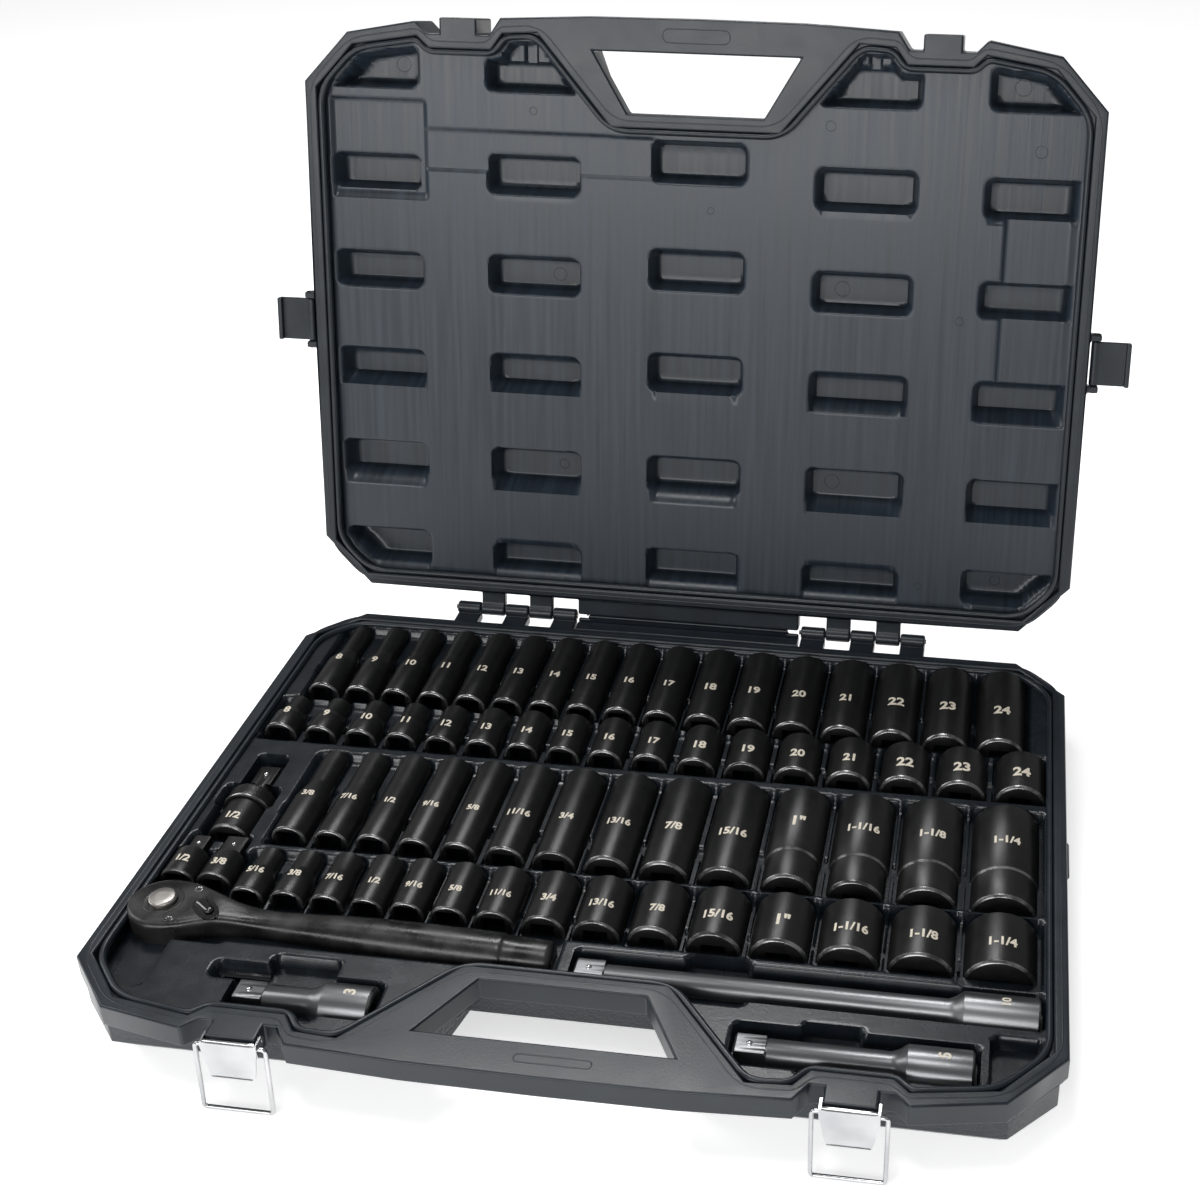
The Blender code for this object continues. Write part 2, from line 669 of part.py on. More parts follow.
def socket(name, size, diameter, length, x, front, look):
    """An impact socket lying along Y: the square drive faces the front and the hexagon the back."""
    radius = diameter / 2
    nose = nose_diameter(size, diameter) / 2
    edge = 1.0
    profile = [(0, length), (nose, length)]
    if nose < radius - 0.2:
        profile += [(nose, length * SHOULDER_END), (radius, length * SHOULDER_START)]
    profile += [(radius, edge), (radius - edge, 0), (0, 0)]
    place = (x, front, TOOL_TOP - radius)
    body = turned(name, profile, look, place, TURN_TO_Y, SOCKET_SIDES)
    drive = square_rod(name + "_drive", DRIVE, DRIVE_DEPTH + 5, None, (x, front - 5, place[2]), TURN_TO_Y)
    mouth_depth = length - DRIVE_DEPTH - 2
    mouth_start = (x, front + length - mouth_depth, place[2])
    mouth = rod(name + "_mouth", 6, size / math.sqrt(3), mouth_depth + 5, None, mouth_start, TURN_TO_Y)
    boolean(body, drive)
    boolean(body, mouth)
    return body


def deep_sockets():
    for row, label, size, diameter, length, x, front in rows():
        if row.startswith("deep"):
            name = row.replace("deep", "deep_socket") + "_" + label
            socket(name, size, diameter, length, x, front, BLACK_OXIDE)


def short_row(row_name):
    """A row of short sockets held in one piece by a thin web through their top walls."""
    sockets = [entry for entry in rows() if entry[0] == row_name]
    first, last = sockets[0], sockets[-1]
    middle = first[6] + first[4] / 2
    web = box(row_name + "_sockets", (first[5], middle - WEB_SIZE[0] / 2, WEB_TOP - WEB_SIZE[1]),
              (last[5], middle + WEB_SIZE[0] / 2, WEB_TOP), BLACK_OXIDE)
    bodies = [socket(row + "_" + label, size, diameter, length, x, front, BLACK_OXIDE)
              for row, label, size, diameter, length, x, front in sockets]
    return boolean_group(web, bodies, "UNION")


# ------------------------------------------------------------------ bars, adapters, universal joint



def extension(name, left, right, y, shaft, radius, socket_length):
    """A bar along X: a male square on the left, the shaft, and a female end on the right."""
    z = TOOL_TOP - 1 - radius
    length = right - left
    profile = [(0, length), (radius - 1, length), (radius, length - 1), (radius, length - socket_length),
               (shaft, length - socket_length - 7), (shaft, 17), (0, 17)]
    bar = turned(name, profile, BLACK_OXIDE, (left, y, z), TURN_TO_X, 14)
    boolean(bar, square_rod(name + "_male", 12.7, 20.0, None, (left, y, z), TURN_TO_X), "UNION")
    bore = square_rod(name + "_female", DRIVE, 22.0, None, (right - 17.0, y, z), TURN_TO_X)
    return boolean(bar, bore)


def adapter(name, x, female, male):
    """A short coupling: a female square at the front and a smaller or larger male square behind."""
    radius = 10.5
    front = -90.0
    z = TOOL_TOP - radius
    profile = [(0, 24), (radius - 2, 24), (radius, 21), (radius, 1), (radius - 1, 0), (0, 0)]
    body = turned(name, profile, BLACK_OXIDE, (x, front, z), TURN_TO_Y, 14)
    boolean(body, square_rod(name + "_male", male, 18.0, None, (x, front + 20, z), TURN_TO_Y), "UNION")
    return boolean(body, square_rod(name + "_female", female, 17.0, None, (x, front - 5, z), TURN_TO_Y))


def universal_joint():
    """Three pieces: the socket half with its cup, the ball-ended drive half, and the knurled collar."""
    front = -46.0
    place = (JOINT_X, front, JOINT_Z)
    profile = [(0, 39), (13, 39), (13, 1), (12, 0), (0, 0)]
    half = turned("universal_socket_half", profile, BLACK_OXIDE, place, TURN_TO_Y, 16)
    boolean(half, square_rod("joint_female", DRIVE, 21.0, None, (JOINT_X, front - 5, JOINT_Z), TURN_TO_Y))
    boolean(half, ball("joint_cup", 10.3))
    drive = ball("universal_drive_half", 9.6, BLACK_OXIDE)
    neck = (JOINT_X, JOINT_BALL_Y + 5, JOINT_Z)
    boolean(drive, rod("joint_neck", 12, 6.6, 10.0, None, neck, TURN_TO_Y), "UNION")
    boolean(drive, square_rod("joint_male", 12.7, 19.0, None,
                              (JOINT_X, JOINT_BALL_Y + 12, JOINT_Z), TURN_TO_Y), "UNION")
    ring_place = (JOINT_X, -20.0, JOINT_Z)
    ring = rod("universal_collar", 20, 15.5, 12.0, BLACK_OXIDE, ring_place, TURN_TO_Y)
    boolean(ring, rod("collar_bore", 20, 13.45, 20.0, None, (JOINT_X, -24.0, JOINT_Z), TURN_TO_Y))


def ball(name, radius, look=None):
    bm = bmesh.new()
    bmesh.ops.create_uvsphere(bm, u_segments=14, v_segments=8, radius=radius * MM)
    return add_object(name, bm, look, (JOINT_X, JOINT_BALL_Y, JOINT_Z), TURN_TO_Y)


# ------------------------------------------------------------------ ratchet

def teardrop(radius, tip, tip_half, steps=14):
    """The head seen from above: a round end that narrows towards the handle."""
    start = math.radians(62)
    arc = [start + (2 * math.pi - 2 * start) * i / steps for i in range(steps + 1)]
    points = [(RATCHET_X + radius * math.cos(a), RATCHET_Y + radius * math.sin(a)) for a in arc]
    return points + [(RATCHET_X + tip, RATCHET_Y - tip_half), (RATCHET_X + tip, RATCHET_Y + tip_half)]


def ratchet_body():
    """The forged body: a hollow head, a waisted neck and a round handle."""
    body = prism("ratchet_body", teardrop(HEAD_RADIUS, 41.5, 9.0), HEAD_BOTTOM, HEAD_TOP, BLACK_OXIDE)
    start_x = RATCHET_X + 31.5
    length = RATCHET_END - start_x
    profile = [(0, length), (9.5, length), (11.0, length - 2), (11.0, length - 26), (11.9, length - 28),
               (11.9, 78), (9.0, 55), (7.8, 25), (9.5, 0), (0, 0)]
    slope = math.atan2(RATCHET_END_Y - RATCHET_Y, length)
    handle = turned("ratchet_handle", profile, None, (start_x, RATCHET_Y - 0.5, HANDLE_Z),
                    (0.0, math.pi / 2, slope), 14)
    boolean(body, handle, "UNION")
    seat = HEAD_TOP - COVER_THICKNESS - GAP
    hollows = [
        prism("cover_seat", teardrop(HEAD_RADIUS - 3.0, 31.5, 7.5), seat, HEAD_TOP + 5),
        rod("gear_hollow", 20, GEAR_RADIUS + 0.5, seat - 32 + 1, None, (RATCHET_X, RATCHET_Y, 32.0)),
        rod("gear_hole", 16, 9.8, 20.0, None, (RATCHET_X, RATCHET_Y, HEAD_BOTTOM - 5)),
        box("pawl_hollow", (PAWL_X - 6, RATCHET_Y - 6.2, 32.0), (LEVER_X + 4.0, RATCHET_Y + 6.2, seat + 1)),
    ]
    return boolean_group(body, hollows, "DIFFERENCE")


def ratchet_cover():
    """The plate screwed over the head, with holes for the release button and the reverse lever."""
    low = HEAD_TOP - COVER_THICKNESS
    cover = prism("ratchet_cover", teardrop(HEAD_RADIUS - 3.0 - GAP, 31.1, 7.1), low, HEAD_TOP, BLACK_OXIDE)
    holes = [rod("button_hole", 16, 8.4, 20.0, None, (RATCHET_X, RATCHET_Y, low - 5)),
             rod("lever_hole", 10, 3.4, 20.0, None, (LEVER_X, RATCHET_Y, low - 5))]
    return boolean_group(cover, holes, "DIFFERENCE")


def drive_gear():
    """The ratchet wheel with its half-inch drive square below and a bore for the release button."""
    place = (RATCHET_X, RATCHET_Y, 32.3)
    gear = rod("drive_gear", 18, GEAR_RADIUS, 14.3, BLACK_OXIDE, place)
    joined = [rod("gear_boss", 14, 9.3, 10.0, None, (RATCHET_X, RATCHET_Y, 26.0)),
              square_rod("drive_square", 12.7, 18.0, None, (RATCHET_X, RATCHET_Y, 11.0))]
    boolean_group(gear, joined, "UNION")
    return boolean(gear, rod("button_bore", 12, 4.4, 20.0, None, (RATCHET_X, RATCHET_Y, 34.0)))


def release_button():
    profile = [(0, 15.5), (6.8, 15.5), (7.8, 14.5), (7.8, 12.5), (4.0, 12.5), (4.0, 0), (0, 0)]
    return turned("release_button", profile, BRUSHED_STEEL, (RATCHET_X, RATCHET_Y, 38.0), sides=16)


def reverse_lever():
    """The lever on the cover, with the stem that reaches down to the pawl."""
    lever = rod("reverse_lever", 10, 3.0, 13.0, GLOSSY_BLACK, (LEVER_X, RATCHET_Y, 40.0))
    thumb = prism("lever_thumb", [(LEVER_X - 4, RATCHET_Y + 3), (LEVER_X - 4, RATCHET_Y - 2),
                                  (LEVER_X - 1.5, RATCHET_Y - 12), (LEVER_X + 3, RATCHET_Y - 12),
                                  (LEVER_X + 4, RATCHET_Y + 3)], HEAD_TOP + GAP, HEAD_TOP + 3.5)
    return boolean(lever, thumb, "UNION")


def pawl():
    """The toggle between the lever's stem and the ratchet wheel."""
    toggle = rod("pawl", 10, 2.4, 11.0, BRUSHED_STEEL, (PAWL_X, RATCHET_Y, 33.0))
    wings = box("pawl_wings", (PAWL_X - 2.2, RATCHET_Y - 4.6, 33.0), (PAWL_X + 0.4, RATCHET_Y + 4.6, 43.0))
    return boolean(toggle, wings, "UNION")


# ------------------------------------------------------------------ the whole set

def build():
    base_shell()
    tool_tray()
    lid_shell()
    lid_liner()
    for name, side in (("left", -1), ("right", 1)):
        hinge_pin("hinge_pin_" + name, side)
        latch_plate("latch_plate_" + name, side)
        latch_bail("latch_bail_" + name, side)
        side_latch("side_latch_" + name, side)
    deep_sockets()
    short_row("short_metric")
    short_row("short_inch")
    for bar in EXTENSIONS:
        extension(*bar)
    for piece in ADAPTERS:
        adapter(*piece)
    universal_joint()
    ratchet_body()
    ratchet_cover()
    drive_gear()
    release_button()
    reverse_lever()
    pawl()
    for obj in PARTS.objects:
        if obj.type == "MESH":
            obj.data.shade_smooth()
            obj.data.set_sharp_from_angle(angle=math.radians(35))


build()
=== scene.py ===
"""The looks of an impact socket set in its open moulded case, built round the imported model.

Every length below is in millimetres and is turned into metres when a mesh is made.  Shapes
that belong to the lid are worked out as if it were closed and are then turned about the
hinge, so the same outline serves the base and the lid.
"""

import json
import math

import bmesh
import bpy
import numpy as np
from mathutils import Matrix, Vector


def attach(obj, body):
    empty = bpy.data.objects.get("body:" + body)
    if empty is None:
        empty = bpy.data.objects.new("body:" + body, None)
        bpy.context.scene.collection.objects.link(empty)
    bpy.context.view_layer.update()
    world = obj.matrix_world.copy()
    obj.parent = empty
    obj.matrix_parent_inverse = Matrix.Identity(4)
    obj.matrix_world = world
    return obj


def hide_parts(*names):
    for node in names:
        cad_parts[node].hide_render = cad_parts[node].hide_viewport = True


bl_info = {
    "name": "Socket set in case",
    "version": (1, 0, 0),
    "blender": (4, 5, 0),
    "location": "View3D > Sidebar > Socket Set",
    "description": "Builds the detailed pieces of a socket set in a moulded carrying case",
    "category": "Object",
}

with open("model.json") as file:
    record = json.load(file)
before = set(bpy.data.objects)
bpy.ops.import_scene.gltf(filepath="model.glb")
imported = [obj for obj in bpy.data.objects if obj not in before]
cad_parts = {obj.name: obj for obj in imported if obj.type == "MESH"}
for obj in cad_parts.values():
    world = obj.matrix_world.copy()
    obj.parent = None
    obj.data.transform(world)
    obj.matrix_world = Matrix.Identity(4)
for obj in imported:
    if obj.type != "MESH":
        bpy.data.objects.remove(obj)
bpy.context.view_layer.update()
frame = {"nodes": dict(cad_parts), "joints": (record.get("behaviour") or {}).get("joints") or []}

MM = 0.001
TAU = 2 * math.pi

# The case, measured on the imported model's own shapes.
HALF_WIDTH = 264.0
BACK_Y = 191.5
RIM = 48.0
FLANGE = 8.0
TRAY_TOP = RIM - 3.0
TRAY_UNDERSIDE = RIM - 12.0
TOOL_TOP = RIM + 3.0
LINER_Z = RIM + 8.0
LINER_FLOOR = 17.5
LID_BACK = RIM + 34.5
LATCH_X = 158.0
RECESS_Y = -183.0

LID_JOINT = next(joint for joint in frame["joints"] if joint["name"] == "lid_hinge")
HINGE = [value / MM for value in LID_JOINT["pos_m"]]
LID_ANGLE = math.radians(LID_JOINT["range_deg"][0])

# Where the rims carry their beads, and the moulding's round witness marks on the lid's liner,
# each as (x, y, radius, depth from the liner's face).
BEAD_WIDTH = 2.1
RIM_LINE_INSET = 4.4
WITNESS_RINGS = ((-97.0, -35.0, 4.6, LINER_FLOOR), (-95.0, 100.0, 3.4, LINER_FLOOR),
                 (98.0, -35.0, 5.2, LINER_FLOOR), (96.0, 100.0, 5.2, LINER_FLOOR),
                 (-204.0, -171.0, 5.0, LINER_FLOOR), (210.0, -171.0, 5.4, LINER_FLOOR),
                 (213.0, 164.0, 3.6, LINER_FLOOR), (88.0, -143.0, 3.4, 0.0), (178.0, -20.0, 2.8, 0.0),
                 (224.0, -132.0, 4.0, 0.0), (-110.0, -145.0, 2.6, 0.0), (10.0, -85.0, 2.4, 0.0),
                 (160.0, 166.0, 2.4, 0.0))

# Sockets: sizes, and each row's left centre, right centre and front edge.
INCH = 25.4
METRIC = [str(size) for size in range(8, 25)]
INCH_DEEP = ["3/8", "7/16", "1/2", "9/16", "5/8", "11/16", "3/4", "13/16", "7/8", "15/16",
             "1", "1-1/16", "1-1/8", "1-1/4"]
INCH_SHORT = ["5/16"] + INCH_DEEP
DEEP_METRIC_ROW = (-228.5, 223.0, 98.5, 78.0)
SHORT_METRIC_ROW = (-239.2, 236.6, 52.0, 37.0)
DEEP_INCH_ROW = (-192.8, 228.6, -46.0, 80.0)
SHORT_INCH_ROW = (-195.8, 228.1, -99.0, 39.0)
DRIVE = 12.9
DRIVE_DEPTH = 16.0
SOCKET_COLUMNS = 48
STEPPED_SIZE = 25.0           # from this size up, a deep inch socket is stepped outside

# The ratchet and the small tools.
HEAD_X, HEAD_Y = -236.0, -114.0
HEAD_TOP = 50.0
RATCHET_END = -12.0
LEVER_X = HEAD_X + 23.0
LEVER_TURN = -38.0
JOINT_X, JOINT_Z = -231.0, TOOL_TOP - 15.7
JOINT_BALL_Y = -10.0
ADAPTERS = (("adapter_half_to_three_eighths", -241.4, 12.9, 9.5, "1/2"),
            ("adapter_three_eighths_to_half", -219.4, 9.8, 12.7, "3/8"))
BARS = (("extension_10in", 1.5, 249.5, -126.5, 6.8, 11.5, 40.0, "10"),
        ("extension_3in", -172.0, -96.0, -166.0, 8.0, 12.0, 27.0, "3"),
        ("extension_5in", 95.0, 217.0, -167.0, 7.5, 12.0, 34.0, "5"))


class SocketSetSettings(bpy.types.PropertyGroup):
    """Sizes and colours of the set that may be changed before it is built."""

    case_colour: bpy.props.FloatVectorProperty(
        name="Case colour", description="Colour of the moulded case and tray",
        subtype="COLOR", size=3, default=(0.0085, 0.0125, 0.0175), min=0.0, max=1.0)
    steel_colour: bpy.props.FloatVectorProperty(
        name="Black steel", description="Colour of the black-oxide tools",
        subtype="COLOR", size=3, default=(0.0085, 0.0084, 0.0084), min=0.0, max=1.0)
    mark_colour: bpy.props.FloatVectorProperty(
        name="Mark colour", description="Colour of the size marks",
        subtype="COLOR", size=3, default=(0.72, 0.66, 0.55), min=0.0, max=1.0)
    floor_colour: bpy.props.FloatVectorProperty(
        name="Floor colour", description="Colour of the plain floor",
        subtype="COLOR", size=3, default=(0.92, 0.92, 0.92), min=0.0, max=1.0)
    rim_rounding: bpy.props.FloatProperty(
        name="Rim rounding", description="Radius of the case's moulded edges",
        subtype="DISTANCE", unit="LENGTH", default=0.0013, min=0.0002, max=0.003)
    mark_height: bpy.props.FloatProperty(
        name="Mark height", description="Height of the figures on a one-inch socket",
        subtype="DISTANCE", unit="LENGTH", default=0.0078, min=0.002, max=0.012)
    mirror_hardness: bpy.props.FloatProperty(
        name="Latch polish", description="Roughness of the bright latches",
        subtype="FACTOR", default=0.16, min=0.02, max=0.6)


def settings():
    return bpy.context.scene.socket_set


# ------------------------------------------------------------------ shader helpers

def new_tree_nodes(tree, *kinds):
    return [tree.nodes.new(kind) for kind in kinds]


def surface_noise_group():
    """Grain and blotches worked out from a point: two noises of different size."""
    group = bpy.data.node_groups.get("surface_noise")
    if group:
        return group
    group = bpy.data.node_groups.new("surface_noise", "ShaderNodeTree")
    face = group.interface
    face.new_socket("Vector", in_out="INPUT", socket_type="NodeSocketVector")
    face.new_socket("Grain Scale", in_out="INPUT", socket_type="NodeSocketFloat")
    face.new_socket("Blotch Scale", in_out="INPUT", socket_type="NodeSocketFloat")
    face.new_socket("Grain", in_out="OUTPUT", socket_type="NodeSocketFloat")
    face.new_socket("Blotch", in_out="OUTPUT", socket_type="NodeSocketFloat")
    inside, outside, grain, blotch = new_tree_nodes(
        group, "NodeGroupInput", "NodeGroupOutput", "ShaderNodeTexNoise", "ShaderNodeTexNoise")
    grain.inputs["Detail"].default_value = 4.0
    blotch.inputs["Detail"].default_value = 3.0
    link = group.links.new
    link(inside.outputs["Vector"], grain.inputs["Vector"])
    link(inside.outputs["Vector"], blotch.inputs["Vector"])
    link(inside.outputs["Grain Scale"], grain.inputs["Scale"])
    link(inside.outputs["Blotch Scale"], blotch.inputs["Scale"])
    link(grain.outputs["Fac"], outside.inputs["Grain"])
    link(blotch.outputs["Fac"], outside.inputs["Blotch"])
    return group


STIPPLE_TOP = 0.0325          # metres above the floor, where the base's smooth band begins
STIPPLE_STRENGTH = 16.0


def stipple_group():
    """A height of close round grains, shown only below a level, for textured lower walls."""
    group = bpy.data.node_groups.get("stipple")
    if group:
        return group
    group = bpy.data.node_groups.new("stipple", "ShaderNodeTree")
    face = group.interface
    face.new_socket("Vector", in_out="INPUT", socket_type="NodeSocketVector")
    face.new_socket("Level", in_out="INPUT", socket_type="NodeSocketFloat")
    face.new_socket("Height", in_out="OUTPUT", socket_type="NodeSocketFloat")
    inside, outside, cells, split, below, product = new_tree_nodes(
        group, "NodeGroupInput", "NodeGroupOutput", "ShaderNodeTexVoronoi", "ShaderNodeSeparateXYZ",
        "ShaderNodeMath", "ShaderNodeMath")
    cells.inputs["Scale"].default_value = 560.0
    below.operation = "LESS_THAN"
    product.operation = "MULTIPLY"
    link = group.links.new
    link(inside.outputs["Vector"], cells.inputs["Vector"])
    link(inside.outputs["Vector"], split.inputs["Vector"])
    link(split.outputs["Z"], below.inputs[0])
    link(inside.outputs["Level"], below.inputs[1])
    link(cells.outputs["Distance"], product.inputs[0])
    link(below.outputs["Value"], product.inputs[1])
    link(product.outputs["Value"], outside.inputs["Height"])
    return group


def finish_material(name, colour, light, roughness, rough_spread, metallic, grain, blotch,
                    bump, stretch=(1.0, 1.0, 1.0), coat=0.0, specular=0.5, stipple_level=None):
    """Colour between two tones, and roughness, both following blotches, over a grain bump."""
    material = bpy.data.materials.get(name)
    if material:
        return material
    material = bpy.data.materials.new(name)
    material.use_nodes = True
    tree = material.node_tree
    shader = tree.nodes["Principled BSDF"]
    place, mapping, noise, spread, tone, rough, bumps = new_tree_nodes(
        tree, "ShaderNodeTexCoord", "ShaderNodeMapping", "ShaderNodeGroup", "ShaderNodeMapRange",
        "ShaderNodeMix", "ShaderNodeMapRange", "ShaderNodeBump")
    noise.node_tree = surface_noise_group()
    noise.inputs["Grain Scale"].default_value = grain
    noise.inputs["Blotch Scale"].default_value = blotch
    mapping.inputs["Scale"].default_value = stretch
    tone.data_type = "RGBA"
    tone.inputs[6].default_value = (*colour, 1.0)
    tone.inputs[7].default_value = (*light, 1.0)
    spread.inputs["From Min"].default_value = 0.34
    spread.inputs["From Max"].default_value = 0.66
    rough.inputs["To Min"].default_value = roughness - rough_spread
    rough.inputs["To Max"].default_value = roughness + rough_spread
    bumps.inputs["Strength"].default_value = bump
    bumps.inputs["Distance"].default_value = 0.0004
    link = tree.links.new
    link(place.outputs["Object"], mapping.inputs["Vector"])
    link(mapping.outputs["Vector"], noise.inputs["Vector"])
    link(noise.outputs["Blotch"], spread.inputs["Value"])
    link(spread.outputs["Result"], tone.inputs[0])
    link(tone.outputs[2], shader.inputs["Base Color"])
    link(spread.outputs["Result"], rough.inputs["Value"])
    link(rough.outputs["Result"], shader.inputs["Roughness"])
    if stipple_level is None:
        link(noise.outputs["Grain"], bumps.inputs["Height"])
    else:
        stipple, both = new_tree_nodes(tree, "ShaderNodeGroup", "ShaderNodeMath")
        stipple.node_tree = stipple_group()
        stipple.inputs["Level"].default_value = stipple_level
        both.operation = "MULTIPLY_ADD"
        both.inputs[1].default_value = STIPPLE_STRENGTH
        link(place.outputs["Object"], stipple.inputs["Vector"])
        link(stipple.outputs["Height"], both.inputs[0])
        link(noise.outputs["Grain"], both.inputs[2])
        link(both.outputs["Value"], bumps.inputs["Height"])
    link(bumps.outputs["Normal"], shader.inputs["Normal"])
    shader.inputs["Metallic"].default_value = metallic
    shader.inputs["Coat Weight"].default_value = coat
    shader.inputs["Specular IOR Level"].default_value = specular
    return material


def scaled(colour, factor):
    return tuple(min(1.0, value * factor) for value in colour)


def case_plastic():
    """The shells' plastic: smooth on the band and the rim, stippled on the base's lower walls."""
    colour = tuple(settings().case_colour)
    return finish_material("moulded_case_plastic", colour, scaled(colour, 1.35), 0.33, 0.025, 0.0,
                           900.0, 60.0, 0.16, specular=0.45, stipple_level=STIPPLE_TOP)


def liner_plastic():
    """The lid's inner face: the case colour painted lighter as a painted sheen, with the faint flow streaks
    of a blown moulding along its height.
    """
    colour = tuple(settings().case_colour)
    return finish_material("blown_liner_painted_sheen", scaled(colour, 1.5), scaled(colour, 2.6), 0.34, 0.035,
                           0.0, 420.0, 300.0, 0.25, stretch=(1.0, 0.03, 0.03), specular=0.5)


# The case colour painted darker on the tray: painted shade.
def tray_plastic():
    colour = tuple(settings().case_colour)
    return finish_material("moulded_tray_plastic", scaled(colour, 0.6), scaled(colour, 0.9), 0.26, 0.03,
                           0.0, 900.0, 70.0, 0.16, specular=0.5)


def black_steel():
    colour = tuple(settings().steel_colour)
    return finish_material("black_oxide_finish", colour, scaled(colour, 1.35), 0.34, 0.025, 0.25,
                           1400.0, 150.0, 0.20, specular=0.5)


def lip_steel():
    """Lighter, more metallic steel: a painted highlight on the tools' turned edges, and the bare steel of
    the cover screws.
    """
    return finish_material("painted_lip_highlight_and_screw_steel", (0.10, 0.10, 0.102), (0.34, 0.34, 0.34), 0.25, 0.05,
                           0.9, 600.0, 150.0, 0.05)


def ratchet_steel():
    colour = tuple(settings().steel_colour)
    return finish_material("satin_black_forging", scaled(colour, 1.8), scaled(colour, 5.5), 0.30,
                           0.08, 0.5, 620.0, 55.0, 0.20)


def bar_steel():
    """The bars' satin steel: a grey base colour, a painted sheen that makes it brighter than the sockets,
    drawn along the bar.
    """
    return finish_material("bar_steel_painted_sheen", (0.13, 0.133, 0.137), (0.23, 0.234, 0.24), 0.34,
                           0.05, 0.9, 500.0, 60.0, 0.10, stretch=(0.12, 1.0, 1.0))


def bright_steel():
    return finish_material("bright_plated_finish", (0.42, 0.43, 0.44), (0.62, 0.62, 0.63),
                           settings().mirror_hardness, 0.05, 1.0, 300.0, 25.0, 0.03)


def brushed_steel():
    return finish_material("brushed_button_steel", (0.22, 0.21, 0.20), (0.40, 0.38, 0.36), 0.30,
                           0.08, 1.0, 420.0, 40.0, 0.30, stretch=(0.15, 1.0, 1.0))


def gloss_black():
    return finish_material("gloss_black_lever", (0.004, 0.004, 0.005), (0.008, 0.008, 0.009), 0.08,
                           0.03, 0.0, 300.0, 50.0, 0.02, coat=0.6)


def mark_paint():
    colour = tuple(settings().mark_colour)
    return finish_material("size_mark_paint", scaled(colour, 0.85), colour, 0.55, 0.05, 0.0,
                           900.0, 300.0, 0.05)


# ------------------------------------------------------------------ mesh helpers

def grid_quads(rows, columns, wrap_rows=False, wrap_columns=False):
    """Each quad takes a point, its neighbour along the row, and the same two points of the next row."""
    r0, c0 = np.meshgrid(np.arange(rows - (not wrap_rows)),
                         np.arange(columns - (not wrap_columns)), indexing="ij")
    r1, c1 = (r0 + 1) % rows, (c0 + 1) % columns
    corners = [r0 * columns + c0, r0 * columns + c1, r1 * columns + c1, r1 * columns + c0]
    return np.stack(corners, axis=-1).reshape(-1, 4)


def make_piece(name, points, faces, material, body, replaced=(), slot=None, sharp=38.0,
               more_materials=(), material_of=None):
    """A piece from points in millimetres: faces turned outwards, smooth but for its sharp edges."""
    mesh = bpy.data.meshes.new(name)
    mesh.from_pydata((np.asarray(points, float).reshape(-1, 3) * MM).tolist(), [],
                     [list(map(int, face)) for face in faces])
    for look in (material, *more_materials):
        mesh.materials.append(look)
    if material_of is not None:
        mesh.polygons.foreach_set("material_index", np.asarray(material_of, np.int32))
    shape = bmesh.new()
    shape.from_mesh(mesh)
    bmesh.ops.recalc_face_normals(shape, faces=shape.faces)
    shape.to_mesh(mesh)
    shape.free()
    mesh.shade_smooth()
    mesh.set_sharp_from_angle(angle=math.radians(sharp))
    obj = bpy.data.objects.new(name, mesh)
    bpy.context.scene.collection.objects.link(obj)
    place_piece(obj, body, replaced, slot)
    return obj


def place_piece(obj, body, replaced=(), slot=None):
    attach(obj, body)
    if replaced:
        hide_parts(*replaced)
    return obj


def ring_piece(name, rings, material, body, closed=False, **more):
    """The surface through rings of equal length: capped at its two ends, or joined end to start."""
    rings = np.asarray(rings, float)
    rows, columns = rings.shape[:2]
    faces = grid_quads(rows, columns, wrap_rows=closed, wrap_columns=True).tolist()
    if not closed:
        faces.append(list(range(columns)))
        faces.append(list(range((rows - 1) * columns, rows * columns)))
    return make_piece(name, rings, faces, material, body, **more)


def polygon_radius(angle, sides, across):
    """Half the width across flats over the cosine of the angle from the nearest flat, cornered short."""
    step = TAU / sides
    from_flat = (angle + step / 2) % step - step / 2
    return np.minimum(across / 2 / np.cos(from_flat), across / 2 / math.cos(step / 2) * 0.965)


def section(angle, shape):
    """A ring's radius at each angle: a number for a circle, or (sides, across flats) for a polygon."""
    if isinstance(shape, tuple):
        return polygon_radius(angle, *shape)
    return np.full_like(angle, shape)


def turned_rings(profile, axis, origin, columns=SOCKET_COLUMNS, twist=0.0):
    """Rings about a line: each (distance along it, section) pair gives a circle or polygon there."""
    angle = np.arange(columns) * TAU / columns
    along = np.array([row[0] for row in profile], float)[:, None]
    radius = np.stack([section(angle + twist, row[1]) for row in profile])
    across, up = radius * np.sin(angle), radius * np.cos(angle)
    run = along + np.zeros_like(radius)
    parts = {"x": (run, across, up), "y": (across, run, up), "z": (across, up, run)}[axis]
    return np.stack([part + start for part, start in zip(parts, origin)], axis=-1)


def tube_rings(path, radius, columns=12):
    """Circles of one radius carried along a path, square to it, on axes kept from twisting."""
    path = np.asarray(path, float)
    ahead = np.gradient(path, axis=0)
    ahead /= np.linalg.norm(ahead, axis=1)[:, None]
    side = np.cross(ahead, [0.0, 0.94, 0.34])
    side /= np.linalg.norm(side, axis=1)[:, None]
    over = np.cross(side, ahead)
    angle = np.arange(columns) * TAU / columns
    return (path[:, None] + radius * (np.cos(angle)[None, :, None] * side[:, None]
                                      + np.sin(angle)[None, :, None] * over[:, None]))


def smooth_path(corners, rounding, steps=6):
    """A polyline with each inner corner replaced by a curve from a little before it to a little after."""
    corners = [np.asarray(corner, float) for corner in corners]
    points = [corners[0]]
    for before, corner, after in zip(corners, corners[1:], corners[2:]):
        start = corner + (before - corner) / np.linalg.norm(before - corner) * rounding
        end = corner + (after - corner) / np.linalg.norm(after - corner) * rounding
        t = np.linspace(0.0, 1.0, steps)[:, None]
        points.extend((1 - t) ** 2 * start + 2 * t * (1 - t) * corner + t ** 2 * end)
    points.append(corners[-1])
    return np.array(points)


